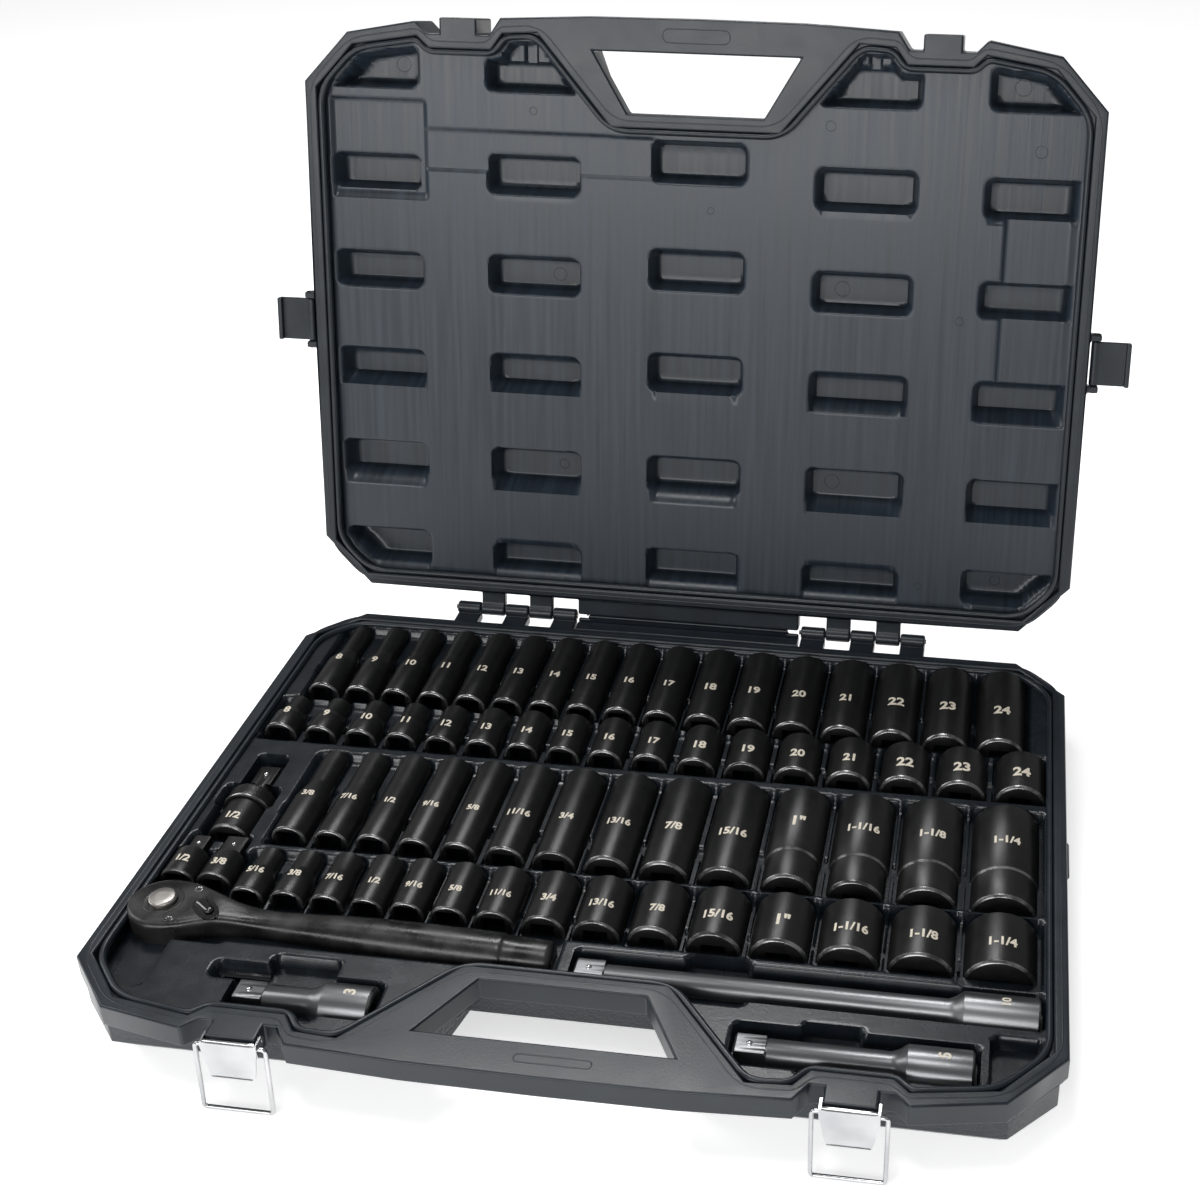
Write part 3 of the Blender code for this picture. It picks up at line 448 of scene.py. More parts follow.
def opened(points):
    """Points of the closed lid turned about the hinge to where the open lid stands."""
    points = np.asarray(points, float)
    dy, dz = points[..., 1] - HINGE[1], points[..., 2] - HINGE[2]
    cos, sin = math.cos(LID_ANGLE), math.sin(LID_ANGLE)
    return np.stack([points[..., 0], HINGE[1] + dy * cos - dz * sin,
                     HINGE[2] + dy * sin + dz * cos], axis=-1)


# ------------------------------------------------------------------ flat fields

def smooth_step(value):
    value = np.clip(value, 0.0, 1.0)
    return value * value * (3 - 2 * value)


def polygon_distance(x, y, corners):
    """Distance to the nearest edge of a polygon, negative inside it by counting crossings."""
    nearest = np.full(x.shape, np.inf)
    inside = np.zeros(x.shape, bool)
    for (x0, y0), (x1, y1) in zip(corners, corners[1:] + corners[:1]):
        ex, ey = x1 - x0, y1 - y0
        t = np.clip(((x - x0) * ex + (y - y0) * ey) / (ex * ex + ey * ey), 0.0, 1.0)
        nearest = np.minimum(nearest, np.hypot(x - x0 - t * ex, y - y0 - t * ey))
        if y0 != y1:
            crosses = ((y0 > y) != (y1 > y)) & (x < x0 + (y - y0) * ex / ey)
            inside ^= crosses
    return np.where(inside, -nearest, nearest)


def box_distance(x, y, low, high, radius):
    """Distance to a rectangle with rounded corners, negative inside."""
    px = np.abs(x - (low[0] + high[0]) / 2) - (high[0] - low[0]) / 2 + radius
    py = np.abs(y - (low[1] + high[1]) / 2) - (high[1] - low[1]) / 2 + radius
    outside = np.hypot(np.maximum(px, 0), np.maximum(py, 0))
    return outside + np.minimum(np.maximum(px, py), 0) - radius


def dip(distance, depth, run=2.6, lip=0.9):
    """How far a pocket falls at a distance from its edge: nothing outside, then a rounded drafted wall."""
    return depth * smooth_step((lip - distance) / (run + lip))


def grid_lines(low, high, step, edges, fine=0.75, reach=3.6):
    """Grid lines from low to high: coarse steps, with fine ones close to each listed edge."""
    lines = list(np.arange(low, high + step / 2, step))
    for edge in edges:
        lines.extend(np.arange(edge - reach, edge + reach + fine / 2, fine))
    lines = np.unique(np.round(np.clip(lines, low, high), 2))
    keep = np.concatenate([[True], np.diff(lines) > fine * 0.45])
    return lines[keep]


def field_piece(name, x_lines, y_lines, height, keep, floor, material, body, lift=None, **more):
    """A closed block whose top is a height over a grid, with a skirt down its border and a flat floor."""
    x, y = np.meshgrid(x_lines, y_lines, indexing="xy")
    top = np.stack([x, y, height(x, y)], axis=-1)
    rows, columns = x.shape
    quads = grid_quads(rows, columns)
    centre_x, centre_y = x.ravel()[quads].mean(1), y.ravel()[quads].mean(1)
    quads = quads[keep(centre_x, centre_y)]
    ends = np.concatenate([quads[:, [i, (i + 1) % 4]] for i in range(4)])
    code = np.sort(ends, axis=1)
    _, first, count = np.unique(code[:, 0] * (rows * columns) + code[:, 1],
                                return_index=True, return_counts=True)
    border = ends[first[count == 1]]
    used = np.unique(quads)
    place = np.full(rows * columns, -1)
    place[used] = np.arange(len(used))
    rim = np.unique(border)
    below = np.full(rows * columns, -1)
    below[rim] = len(used) + np.arange(len(rim))
    points = top.reshape(-1, 3)
    lower = points[rim].copy()
    lower[:, 2] = floor
    everything = np.concatenate([points[used], lower])
    if lift is not None:
        everything = lift(everything)
    faces = place[quads].tolist()
    faces += np.stack([place[border[:, 1]], place[border[:, 0]],
                       below[border[:, 0]], below[border[:, 1]]], axis=-1).tolist()
    following = dict(zip(below[border[:, 0]].tolist(), below[border[:, 1]].tolist()))
    start = next(iter(following))
    loop, here = [start], following[start]
    while here != start:
        loop.append(here)
        here = following[here]
    faces.append(loop)
    return make_piece(name, everything, faces, material, body, **more)


def mirrored(half):
    return half + [(-x, y) for x, y in reversed(half) if x > 0]


OPENING = mirrored([
    (0.0, -137.0), (56.0, -137.0), (105.0, -195.0), (128.0, -193.5), (136.0, RECESS_Y),
    (178.0, RECESS_Y), (186.0, -190.5), (230.0, -183.5), (HALF_WIDTH - FLANGE, -155.5),
    (HALF_WIDTH - FLANGE, 160.3), (233.6, BACK_Y - FLANGE), (0.0, BACK_Y - FLANGE),
])
EDGE_OVERLAP = 3.0
LINER_MARGIN = 6.5
FILLET = 3.5


# ------------------------------------------------------------------ case

def moulded_copy(name, node, material, body, rounding, slot):
    """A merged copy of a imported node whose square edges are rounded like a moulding's."""
    mesh = frame["nodes"][node].data.copy()
    mesh.name = name
    mesh.materials.clear()
    mesh.materials.append(material)
    shape = bmesh.new()
    shape.from_mesh(mesh)
    bmesh.ops.remove_doubles(shape, verts=shape.verts, dist=1e-5)
    bmesh.ops.dissolve_limit(shape, angle_limit=math.radians(0.8), verts=shape.verts,
                             edges=shape.edges)
    bmesh.ops.triangulate(shape, faces=[face for face in shape.faces if len(face.verts) > 4],
                          ngon_method="BEAUTY")
    shape.to_mesh(mesh)
    shape.free()
    mesh.shade_smooth()
    obj = bpy.data.objects.new(name, mesh)
    bpy.context.scene.collection.objects.link(obj)
    bevel = obj.modifiers.new("Rounded edges", "BEVEL")
    bevel.width = rounding
    bevel.segments = 3
    bevel.limit_method = "ANGLE"
    bevel.angle_limit = math.radians(55)
    bevel.use_clamp_overlap = False
    weighted = obj.modifiers.new("Flat faces stay flat", "WEIGHTED_NORMAL")
    weighted.weight = 60
    place_piece(obj, body, (node,), slot)
    return obj


def liner_pockets():
    """Each pocket of the lid's liner as (left, front, right, back) on the closed lid."""
    columns = (
        (-250.0, -189.0, ((-113, -89), (-47, -23), (20.5, 44), (87, 112), (152, 178))),
        (-142.0, -79.0, ((-178, -157), (-116, -90), (-48, -23), (20, 44), (87, 113), (157, 181))),
        (-31.0, 33.5, ((-129, -102.5), (-57.5, -31), (13.5, 39), (86, 111), (153, 181))),
        (79.5, 146.0, ((-182, -156), (-116, -89), (-48, -22), (20, 46), (87, 113.5), (157, 184))),
        (190.0, 255.0, ((-184, -157), (-114, -88), (-47, -23), (20, 47), (88, 114), (153, 176))),
    )
    for left, right, rows in columns:
        for front, back in rows:
            yield left, float(front), right, float(back)
    yield -250.0, -184.0, -189.0, -157.0


def liner_steps():
    """The shallower recesses as (left, front, right, back, depth): pocket stems, then panels."""
    yield -130.0, -193.0, -100.0, -170.0, 12.0
    yield -119.0, -196.0, -109.0, -170.0, 15.0
    yield 100.0, -193.0, 131.0, -170.0, 12.0
    yield 110.0, -196.0, 119.0, -170.0, 15.0
    yield -262.0, -149.0, -184.0, -84.0, 3.4
    yield -190.0, -131.0, -28.0, -103.5, 2.2
    yield 204.0, -112.0, 262.0, 42.0, 3.4


def liner_height(x, y):
    """The liner's face on the closed lid: a flat sheet, with pockets that rise away from it."""
    edge = polygon_distance(x, y, OPENING)
    clip = edge + LINER_MARGIN
    rise = np.zeros(x.shape)
    for left, front, right, back in liner_pockets():
        near = np.maximum(box_distance(x, y, (left, front), (right, back), 6.0), clip)
        rise = np.maximum(rise, dip(near, LINER_FLOOR, 4.0, 1.2))
    for left, front, right, back, depth in liner_steps():
        near = np.maximum(box_distance(x, y, (left, front), (right, back), 3.0), clip)
        rise = np.maximum(rise, dip(near, depth, 1.3, 0.7))
    return LINER_Z + rise


def build_liner():
    """The liner's face over a grid that is fine at each pocket's wall, and its witness rings."""
    pockets = [box[:4] for box in (*liner_pockets(), *liner_steps())]
    x_edges = sorted({value for left, _, right, _ in pockets for value in (left, right)})
    y_edges = sorted({value for _, front, _, back in pockets for value in (front, back)})
    x_lines = grid_lines(-HALF_WIDTH + 4, HALF_WIDTH - 4, 3.0, x_edges, 0.9)
    y_lines = grid_lines(-198.0, BACK_Y - 4, 3.0, y_edges, 0.9)
    field_piece("lid_liner_face", x_lines, y_lines, liner_height,
                lambda x, y: polygon_distance(x, y, OPENING) < EDGE_OVERLAP, LID_BACK,
                liner_plastic(), "lid", lift=opened, replaced=("lid_liner",),
                slot="liner_plastic", sharp=60.0)
    for index, (x, y, radius, depth) in enumerate(WITNESS_RINGS):
        profile = [(0.3, radius - 0.6), (-0.25, radius - 0.3), (-0.25, radius), (0.3, radius + 0.3)]
        rings = turned_rings(profile, "z", (x, y, LINER_Z + depth), 32)
        ring_piece(f"liner_witness_ring_{index + 1:02d}", opened(rings), liner_plastic(), "lid",
                   closed=True, slot="liner_plastic")


def offset_outline(outline, distance):
    """Each corner moved inwards along its mitre, so that every edge moves by the distance."""
    points = np.asarray(outline, float)
    ahead = np.roll(points, -1, axis=0) - points
    ahead /= np.linalg.norm(ahead, axis=1)[:, None]
    normal = np.column_stack([-ahead[:, 1], ahead[:, 0]])
    before = np.roll(normal, 1, axis=0)
    middle = normal + before
    middle /= np.linalg.norm(middle, axis=1)[:, None]
    return points + middle * (distance / (middle * normal).sum(axis=1))[:, None]


def rounded_outline(outline, rounding, steps=7):
    """A closed outline with each corner replaced by a curve that starts and ends a little way off."""
    points = np.asarray(outline, float)
    t = np.linspace(0.0, 1.0, steps)[:, None]
    curves = []
    for before, corner, after in zip(np.roll(points, 1, axis=0), points, np.roll(points, -1, axis=0)):
        back, on = before - corner, after - corner
        reach = min(rounding, 0.4 * np.linalg.norm(back), 0.4 * np.linalg.norm(on))
        start = corner + back / np.linalg.norm(back) * reach
        end = corner + on / np.linalg.norm(on) * reach
        curves.append((1 - t) ** 2 * start + 2 * t * (1 - t) * corner + t ** 2 * end)
    return np.concatenate(curves)


def bead_rings(outline, half_width, height, level):
    """Half-round sections square to a closed outline: the width runs sideways and the height up or down."""
    ahead = np.roll(outline, -1, axis=0) - np.roll(outline, 1, axis=0)
    ahead /= np.linalg.norm(ahead, axis=1)[:, None]
    normal = np.column_stack([-ahead[:, 1], ahead[:, 0]])
    turn = np.linspace(0.0, TAU, 13)[:-1]
    side, rise = half_width * np.cos(turn), height * np.sin(turn)
    flat = outline[:, None, :] + normal[:, None, :] * side[None, :, None]
    z = np.broadcast_to(level + rise, flat.shape[:2])
    return np.concatenate([flat, z[..., None]], axis=-1)


def build_rim_beads():
    """The rolled bead inside each rim, and the fine raised line along the middle of the rim."""
    inner = rounded_outline(offset_outline(OPENING, BEAD_WIDTH), 12.0)
    line = rounded_outline(offset_outline(OPENING, -RIM_LINE_INSET), 12.0)
    for name, outline, half, height, sunk in (("bead", inner, BEAD_WIDTH, 2.6, 2.75),
                                              ("line", line, 0.8, 0.5, 0.38)):
        ring_piece("base_rim_" + name, bead_rings(outline, half, height, RIM - sunk), case_plastic(),
                   "case_base", closed=True, slot="case_plastic")
        lid = opened(bead_rings(outline, half, height, RIM + 0.3 + sunk))
        ring_piece("lid_rim_" + name, lid, case_plastic(), "lid", closed=True, slot="case_plastic")


def slot_outline(x, y, half_length, half_width, columns=48):
    """A long round-ended loop: a circle whose two halves are pulled apart along X."""
    angle = np.arange(columns) * TAU / columns
    pull = (half_length - half_width) * np.clip(4 * np.cos(angle), -1.0, 1.0)
    return np.column_stack([x + half_width * np.cos(angle) + pull, y + half_width * np.sin(angle)])


def build_handle_slots():
    """The round-ended outline moulded on each handle bar."""
    base = bead_rings(slot_outline(8.0, -195.8, 20.0, 2.6), 0.55, 0.45, RIM - 0.30)
    ring_piece("base_handle_slot", base, case_plastic(), "case_base", closed=True, slot="case_plastic")
    lid = bead_rings(slot_outline(0.0, -196.0, 22.0, 4.4), 0.55, 0.45, RIM + 0.6)
    ring_piece("lid_handle_slot", opened(lid), case_plastic(), "lid", closed=True, slot="case_plastic")


# ------------------------------------------------------------------ sockets

def across_flats(label):
    """Millimetres across flats: a plain number is metric, and a fraction is in inches."""
    whole, _, part = label.partition("-") if "-" in label else ("0", "", label)
    top, _, bottom = part.partition("/")
    return (float(whole) + float(top) / float(bottom or 1)) * INCH


def outer_diameter(row, size):
    if row == "short_inch":
        return max(20.5, 1.25 * size + 2.2)
    return max(22.0, 1.17 * size + 4.6)


def nose_diameter(size, diameter):
    return min(diameter, 1.35 * size + 3.5)


def socket_plan():
    """Every socket as (row, label, size, diameter, length, x, front), evenly gapped along its row."""
    rows = (("deep_metric", METRIC, DEEP_METRIC_ROW), ("short_metric", METRIC, SHORT_METRIC_ROW),
            ("deep_inch", INCH_DEEP, DEEP_INCH_ROW), ("short_inch", INCH_SHORT, SHORT_INCH_ROW))
    for row, labels, (left, right, front, length) in rows:
        sizes = [float(label) if "metric" in row else across_flats(label) for label in labels]
        widths = np.array([outer_diameter(row, size) for size in sizes])
        gap = (right - left - widths.sum() + (widths[0] + widths[-1]) / 2) / (len(widths) - 1)
        steps = (widths[:-1] + widths[1:]) / 2 + gap
        places = left + np.concatenate([[0.0], np.cumsum(steps)])
        for label, size, width, x in zip(labels, sizes, widths, places):
            yield row, label, size, float(width), length, float(x), front


def rubbed_rings(rings, *highlighted, closed=False):
    """Material numbers of a turned piece's faces: 1 on the edge rings that carry the painted highlight, and
    0 elsewhere.
    """
    marks = np.zeros(len(rings) - (not closed), int)
    marks[list(highlighted)] = 1
    faces = np.repeat(marks, rings.shape[1])
    return faces if closed else np.append(faces, [0, 0])


def socket_profile(row, size, radius, nose, length):
    """Down the drive bore and the hexagon from front to back, then along the outside from back to front."""
    through = min(4.6, size * 0.36)
    deep_step = row == "deep_inch" and size >= STEPPED_SIZE
    front_radius = radius - 0.9 if deep_step else radius
    profile = [
        (0.0, (4, DRIVE + 1.4)), (0.9, (4, DRIVE)), (DRIVE_DEPTH, (4, DRIVE)),
        (DRIVE_DEPTH + 0.1, through), (DRIVE_DEPTH + 2.0, through),
        (DRIVE_DEPTH + 2.1, (6, size)), (length - 1.0, (6, size)), (length, (6, size * 1.09)),
        (length, nose - 0.9), (length - 0.9, nose),
    ]
    if nose < radius - 0.2:
        profile += [(length * 0.62, nose), (length * 0.60, nose + 0.15), (length * 0.44, radius - 0.15),
                    (length * 0.42, radius)]
    if deep_step:
        profile += [(length * 0.30, radius), (length * 0.285, front_radius)]
    chamfer = 1.5 if radius > 14 else 1.1
    profile += [(chamfer + 0.5, front_radius), (chamfer, front_radius - 0.12),
                (0.25, front_radius - chamfer + 0.1), (0.0, front_radius - chamfer - 0.3)]
    return profile


def build_socket(name, row, size, diameter, length, x, front, body, node):
    """One turned socket, lying on its side with its drive end to the front."""
    radius = diameter / 2
    nose = nose_diameter(size, diameter) / 2
    profile = socket_profile(row, size, radius, nose, length)
    rings = turned_rings(profile, "y", (x, front, TOOL_TOP - radius))
    # The front chamfer rings, and the step of a stepped socket, get the lighter steel as a painted
    # highlight.
    highlighted = (-3, -2, -6) if row == "deep_inch" and size >= STEPPED_SIZE else (-3, -2)
    ring_piece(name, rings, black_steel(), body, closed=True, replaced=(node,),
               slot="black_oxide_steel", more_materials=(lip_steel(),),
               material_of=rubbed_rings(rings, *highlighted, closed=True))


def size_tag(row, label):
    return label.zfill(2) if "metric" in row else label.replace("/", "_")


def build_sockets(rows):
    for row, label, size, diameter, length, x, front in socket_plan():
        if row not in rows:
            continue
        tag = size_tag(row, label)
        if row.startswith("deep"):
            node = row.replace("deep", "deep_socket") + "_" + tag
            build_socket(node + "_turned", row, size, diameter, length, x, front, node, node)
        else:
            node = row + "_sockets"
            build_socket(row.replace("short", "short_socket") + "_" + tag, row, size, diameter,
                         length, x, front, node, node)


# ------------------------------------------------------------------ size marks

def mark_mesh(text, height):
    """A text's filled outline as points and faces in millimetres, centred, with a little thickness."""
    curve = bpy.data.curves.new("mark", "FONT")
    curve.body = text
    curve.size = height / 0.70
    curve.align_x = "CENTER"
    curve.offset = height * 0.048
    curve.space_character = 0.98
    curve.extrude = 0.06
    curve.resolution_u = 3
    obj = bpy.data.objects.new("mark", curve)
    bpy.context.scene.collection.objects.link(obj)
    bpy.context.view_layer.update()
    mesh = bpy.data.meshes.new_from_object(obj.evaluated_get(bpy.context.evaluated_depsgraph_get()))
    bpy.data.objects.remove(obj)
    shape = bmesh.new()
    shape.from_mesh(mesh)
    bmesh.ops.remove_doubles(shape, verts=shape.verts, dist=1e-4)
    bmesh.ops.subdivide_edges(shape, edges=[edge for edge in shape.edges if edge.calc_length() > 1.6],
                              cuts=1, use_grid_fill=False)
    shape.to_mesh(mesh)
    shape.free()
    points = np.zeros(len(mesh.vertices) * 3)
    mesh.vertices.foreach_get("co", points)
    faces = [list(polygon.vertices) for polygon in mesh.polygons]
    points = points.reshape(-1, 3)
    points[:, 1] -= height / 2
    return points, faces


def build_mark(name, text, height, body, radius, centre, turn=0.0):
    """A mark wrapped round the top of a tool: its width becomes an arc about the tool's line."""
    flat, faces = mark_mesh(text, height)
    cos, sin = math.cos(turn), math.sin(turn)
    u = flat[:, 0] * cos - flat[:, 1] * sin
    v = flat[:, 0] * sin + flat[:, 1] * cos
    if turn:
        angle, along = v / radius, u
        out = radius + 0.05 + flat[:, 2]
        points = np.stack([centre[0] + along, centre[1] + out * np.sin(angle),
                           centre[2] + out * np.cos(angle)], axis=-1)
    else:
        angle, along = u / radius, v
        out = radius + 0.05 + flat[:, 2]
        points = np.stack([centre[0] + out * np.sin(angle), centre[1] + along,
                           centre[2] + out * np.cos(angle)], axis=-1)
    return make_piece(name, points, faces, mark_paint(), body, sharp=30.0)


def build_socket_marks():
    base = settings().mark_height / MM
    for row, label, size, diameter, length, x, front in socket_plan():
        radius = diameter / 2
        height = base * (0.72 if radius < 12.5 else 0.84 if radius < 15 else 1.0)
        height *= 0.74 if "/" in label else 1.0
        text = label + '"' if label == "1" else label
        share = 0.60 if row == "deep_inch" and size >= STEPPED_SIZE else 0.42
        tag = size_tag(row, label)
        deep = row.startswith("deep")
        node = row.replace("deep", "deep_socket") + "_" + tag if deep else row + "_sockets"
        build_mark("mark_" + row + "_" + tag, text, height, node, radius,
                   (x, front + length * share, TOOL_TOP - radius))


# ------------------------------------------------------------------ stage

FLOOR_GLOW = 0.62
ROOM_LIGHT = 0.24
LAMPS = (("back_softbox", (-0.35, 0.95, 1.75), (0.9, 0.35), 17.0),
         ("front_softbox", (-0.5, -2.1, 0.95), (2.0, 0.6), 26.0),
         ("side_softbox", (-1.6, 0.1, 1.1), (0.5, 1.2), 9.0),
         ("overhead", (-0.3, -0.35, 2.4), (0.7, 0.5), 13.0))


def build_stage():
    """The plain floor, the room's even light, the softboxes and the camera."""
    choices = settings()
    mesh = bpy.data.meshes.new("floor")
    side = 14.0
    x, y = np.meshgrid(np.linspace(-side, side, 9), np.linspace(-side, side, 9))
    points = np.stack([x, y, np.zeros_like(x) - 0.0002], axis=-1).reshape(-1, 3)
    mesh.from_pydata(points.tolist(), [], grid_quads(9, 9).tolist())
    floor = bpy.data.objects.new("floor", mesh)
    bpy.context.scene.collection.objects.link(floor)
    colour = tuple(choices.floor_colour)
    white = finish_material("floor_white", colour, scaled(colour, 1.02), 0.75, 0.02, 0.0, 3.0, 1.0, 0.0,
                            specular=0.2)
    glow = white.node_tree.nodes["Principled BSDF"].inputs
    glow["Emission Color"].default_value = (1.0, 1.0, 1.0, 1.0)
    glow["Emission Strength"].default_value = FLOOR_GLOW
    mesh.materials.append(white)
    world = bpy.data.worlds.new("studio")
    world.use_nodes = True
    tree = world.node_tree
    background = tree.nodes["Background"]
    path, strength = new_tree_nodes(tree, "ShaderNodeLightPath", "ShaderNodeMapRange")
    strength.inputs["To Min"].default_value = ROOM_LIGHT
    strength.inputs["To Max"].default_value = 1.0
    background.inputs["Color"].default_value = (1.0, 1.0, 1.0, 1.0)
    tree.links.new(path.outputs["Is Camera Ray"], strength.inputs["Value"])
    tree.links.new(strength.outputs["Result"], background.inputs["Strength"])
    bpy.context.scene.world = world
    for name, place, size, power in LAMPS:
        data = bpy.data.lights.new(name, "AREA")
        data.shape = "RECTANGLE"
        data.size, data.size_y = size
        data.energy = power
        lamp = bpy.data.objects.new(name, data)
        lamp.location = place
        lamp.rotation_euler = (Vector((0, 0, 0.1)) - Vector(place)).to_track_quat("-Z", "Y").to_euler()
        bpy.context.scene.collection.objects.link(lamp)
    build_camera()
    bpy.context.scene.view_settings.view_transform = "Standard"


CAMERA_PLACE = (0.2049, -0.7738, 0.692)
CAMERA_TURN, CAMERA_TILT, CAMERA_ROLL = -0.131338, 0.493766, 0.0041563
CAMERA_LENS, CAMERA_SHIFT = 50.12, (-0.162, -0.0884)


def build_camera():
    """The camera from its place, its turn to the left, its tilt down and its small roll."""
    turn, tilt, roll = CAMERA_TURN, CAMERA_TILT, CAMERA_ROLL
    ahead = Vector((math.sin(turn) * math.cos(tilt), math.cos(turn) * math.cos(tilt), -math.sin(tilt)))
    right = Vector((math.cos(turn), -math.sin(turn), 0.0))
    over = right.cross(ahead)
    right, over = (math.cos(roll) * right + math.sin(roll) * over,
                   math.cos(roll) * over - math.sin(roll) * right)
    data = bpy.data.cameras.new("camera")
    data.lens = CAMERA_LENS
    data.sensor_width = 36.0
    data.shift_x, data.shift_y = CAMERA_SHIFT
    data.clip_start = 0.02
    data.clip_end = 60.0
    camera = bpy.data.objects.new("camera", data)
    turned = Matrix((right, over, -ahead)).transposed().to_4x4()
    camera.matrix_world = Matrix.Translation(CAMERA_PLACE) @ turned
    bpy.context.scene.collection.objects.link(camera)
    bpy.context.scene.camera = camera


# ------------------------------------------------------------------ tray

def socket_pockets():
    """Each socket's pocket as (left, front, right, back, depth below the tray's top)."""
    for _, _, size, diameter, length, x, front in socket_plan():
        half = diameter / 2 + 0.8
        nose = nose_diameter(size, diameter) / 2 + 0.9
        depth = TRAY_TOP - TOOL_TOP + diameter * 0.80
        split = front + length * (0.60 if nose < half - 0.3 else 1.0) + 1.5
        yield x - half, front - 8.5, x + half, split, depth
        if nose < half - 0.3:
            yield x - nose, split - 6.0, x + nose, front + length + 1.5, depth - (half - nose)


def tool_troughs():
    """The pockets of the bars, the ratchet, the adapters and the joint, with their finger wells."""
    for _, left, right, y, _, radius, _, _ in BARS:
        yield left - 2.0, y - radius - 1.2, right + 2.0, y + radius + 1.2, 2 * radius - 3.0
    yield -160.0, -184.0, -122.0, -141.0, 20.0
    yield -190.0, -160.0, -150.0, -148.0, 9.0
    yield 60.0, -143.0, 96.0, -110.0, 18.0
    yield 225.0, -180.0, 252.0, -146.0, 22.0
    yield 128.0, -184.0, 160.0, -150.0, 16.0
    for _, x, _, _, _ in ADAPTERS:
        yield x - 11.3, -98.0, x + 11.3, -64.0, 15.0
        yield x - 7.5, -66.0, x + 7.5, -49.0, 10.0
    yield JOINT_X - 15.0, -56.0, JOINT_X + 15.0, -20.0, 24.0
    yield JOINT_X - 17.2, -24.0, JOINT_X + 17.2, -4.0, 27.0
    yield JOINT_X - 9.5, -6.0, JOINT_X + 9.5, 27.0, 20.0
    yield -HALF_WIDTH, -136.5, HEAD_X + 44.0, -94.0, 19.0
    yield -HALF_WIDTH, -172.0, -222.0, -130.0, 21.0
    yield HEAD_X + 40.0, -133.5, RATCHET_END + 3.0, -103.0, 17.0


def row_beds():
    """The lowered bed that each row lies in, as (left, front, right, back, depth)."""
    for left, right, front, length in (DEEP_METRIC_ROW, SHORT_METRIC_ROW, DEEP_INCH_ROW, SHORT_INCH_ROW):
        yield left - 12.5, front - 8.5, right + 19.0, front + length + 1.0, 6.0
    yield 204.0, -112.0, 250.0, -95.0, 14.0


def finger_grooves():
    """Grooves that cross the dividers so that a fingertip can lift a socket."""
    yield -206.0, -27.0, 250.0, -15.0, 15.0
    yield -242.0, 60.0, 254.0, 69.0, 13.0
    yield -242.0, 118.0, 240.0, 131.0, 14.0
    yield -208.0, -92.0, 250.0, -84.0, 13.0


def tray_height(x, y):
    """The tray's face: a flat top with beds, grooves and pockets, eased up at the rim."""
    fall = np.zeros(x.shape)
    for group, run, corner in ((row_beds(), 3.0, 4.0), (finger_grooves(), 3.5, 2.5),
                               (socket_pockets(), 2.2, 2.5), (tool_troughs(), 2.6, 4.0)):
        for left, front, right, back, depth in group:
            near = box_distance(x, y, (left, front), (right, back), corner)
            fall = np.maximum(fall, dip(near, depth, run))
    edge = polygon_distance(x, y, OPENING)
    return TRAY_TOP - fall * smooth_step(-edge / FILLET)


def build_tray():
    step = 1.25
    x_lines = np.arange(-HALF_WIDTH + 4, HALF_WIDTH - 4 + step, step)
    edges = [box[side] for group in (row_beds(), finger_grooves(), tool_troughs())
             for box in group for side in (1, 3)]
    y_lines = grid_lines(-196.0, BACK_Y - 4, 3.0, sorted(set(edges)), 1.1, 2.4)
    field_piece("tool_tray_face", x_lines, y_lines, tray_height,
                lambda x, y: polygon_distance(x, y, OPENING) < EDGE_OVERLAP, TRAY_UNDERSIDE,
                tray_plastic(), "case_base", replaced=("tool_tray",), slot="case_plastic",
                sharp=60.0)


# ------------------------------------------------------------------ latches

def build_latch_wire(name, side, body, node):
    """A bent wire: in from each flange, down both legs with a knee, and across the bottom."""
    x = side * LATCH_X
    legs = [(-14.4, -204.0, 43.0), (-18.8, -204.0, 43.0), (-18.8, -205.6, 22.0),
            (-18.8, -207.6, 1.7), (0.0, -207.6, 1.7)]
    corners = legs + [(-px, py, pz) for px, py, pz in reversed(legs[:-1])]
    path = smooth_path(corners, 2.2) + np.array([x, 0.0, 0.0])
    ring_piece(name, tube_rings(path, 1.2), bright_steel(), body, replaced=(node,),
               slot="bright_steel")


def build_latch_plate(name, side, body, node):
    """A pressed plate carried down its bent profile, with a flange at each side of its top."""
    x = side * LATCH_X
    down = np.array([(-205.2, 46.6), (-205.9, 45.6), (-206.3, 44.0), (-206.5, 36.0), (-206.5, 28.0),
                     (-206.9, 25.2), (-207.6, 24.0)])
    half = np.array([13.4, 14.8, 15.2, 13.9, 12.7, 12.0, 10.8])
    thick = 1.0
    across = np.linspace(-1.0, 1.0, 9)
    front = np.stack([x + half[:, None] * across, np.repeat(down[:, :1], 9, 1),
                      np.repeat(down[:, 1:], 9, 1)], axis=-1)
    back = front[:, ::-1] + np.array([0.0, thick, 0.0])
    ring_piece(name, np.concatenate([front, back], axis=1), bright_steel(), body,
               replaced=(node,), slot="bright_steel")
    for sign in (-1, 1):
        ear = np.array([(-205.8, 46.4), (-199.0, 46.8), (-197.2, 45.4), (-197.2, 42.4),
                        (-199.5, 40.0), (-205.8, 38.6)])
        inner = np.column_stack([np.full(len(ear), x + sign * 14.0), ear])
        outer = inner + np.array([sign * 1.1, 0.0, 0.0])
        ring_piece(f"{name}_flange_{'left' if sign < 0 else 'right'}", np.stack([inner, outer]),
                   bright_steel(), body, slot="bright_steel", sharp=30.0)
    pin = turned_rings([(0.0, 1.0), (0.35, 1.4), (30.2, 1.4), (30.6, 1.0)], "x",
                       (x - 15.3, -198.5, 44.0), 20)
    ring_piece(name + "_pin", pin, bright_steel(), body, slot="bright_steel")


def build_latches():
    for word, side in (("left", -1), ("right", 1)):
        plate, bail = "latch_plate_" + word, "latch_bail_" + word
        build_latch_plate("latch_plate_pressed_" + word, side, plate, plate)
        build_latch_wire("latch_wire_" + word, side, bail, bail)


# ------------------------------------------------------------------ bars, adapters, joint

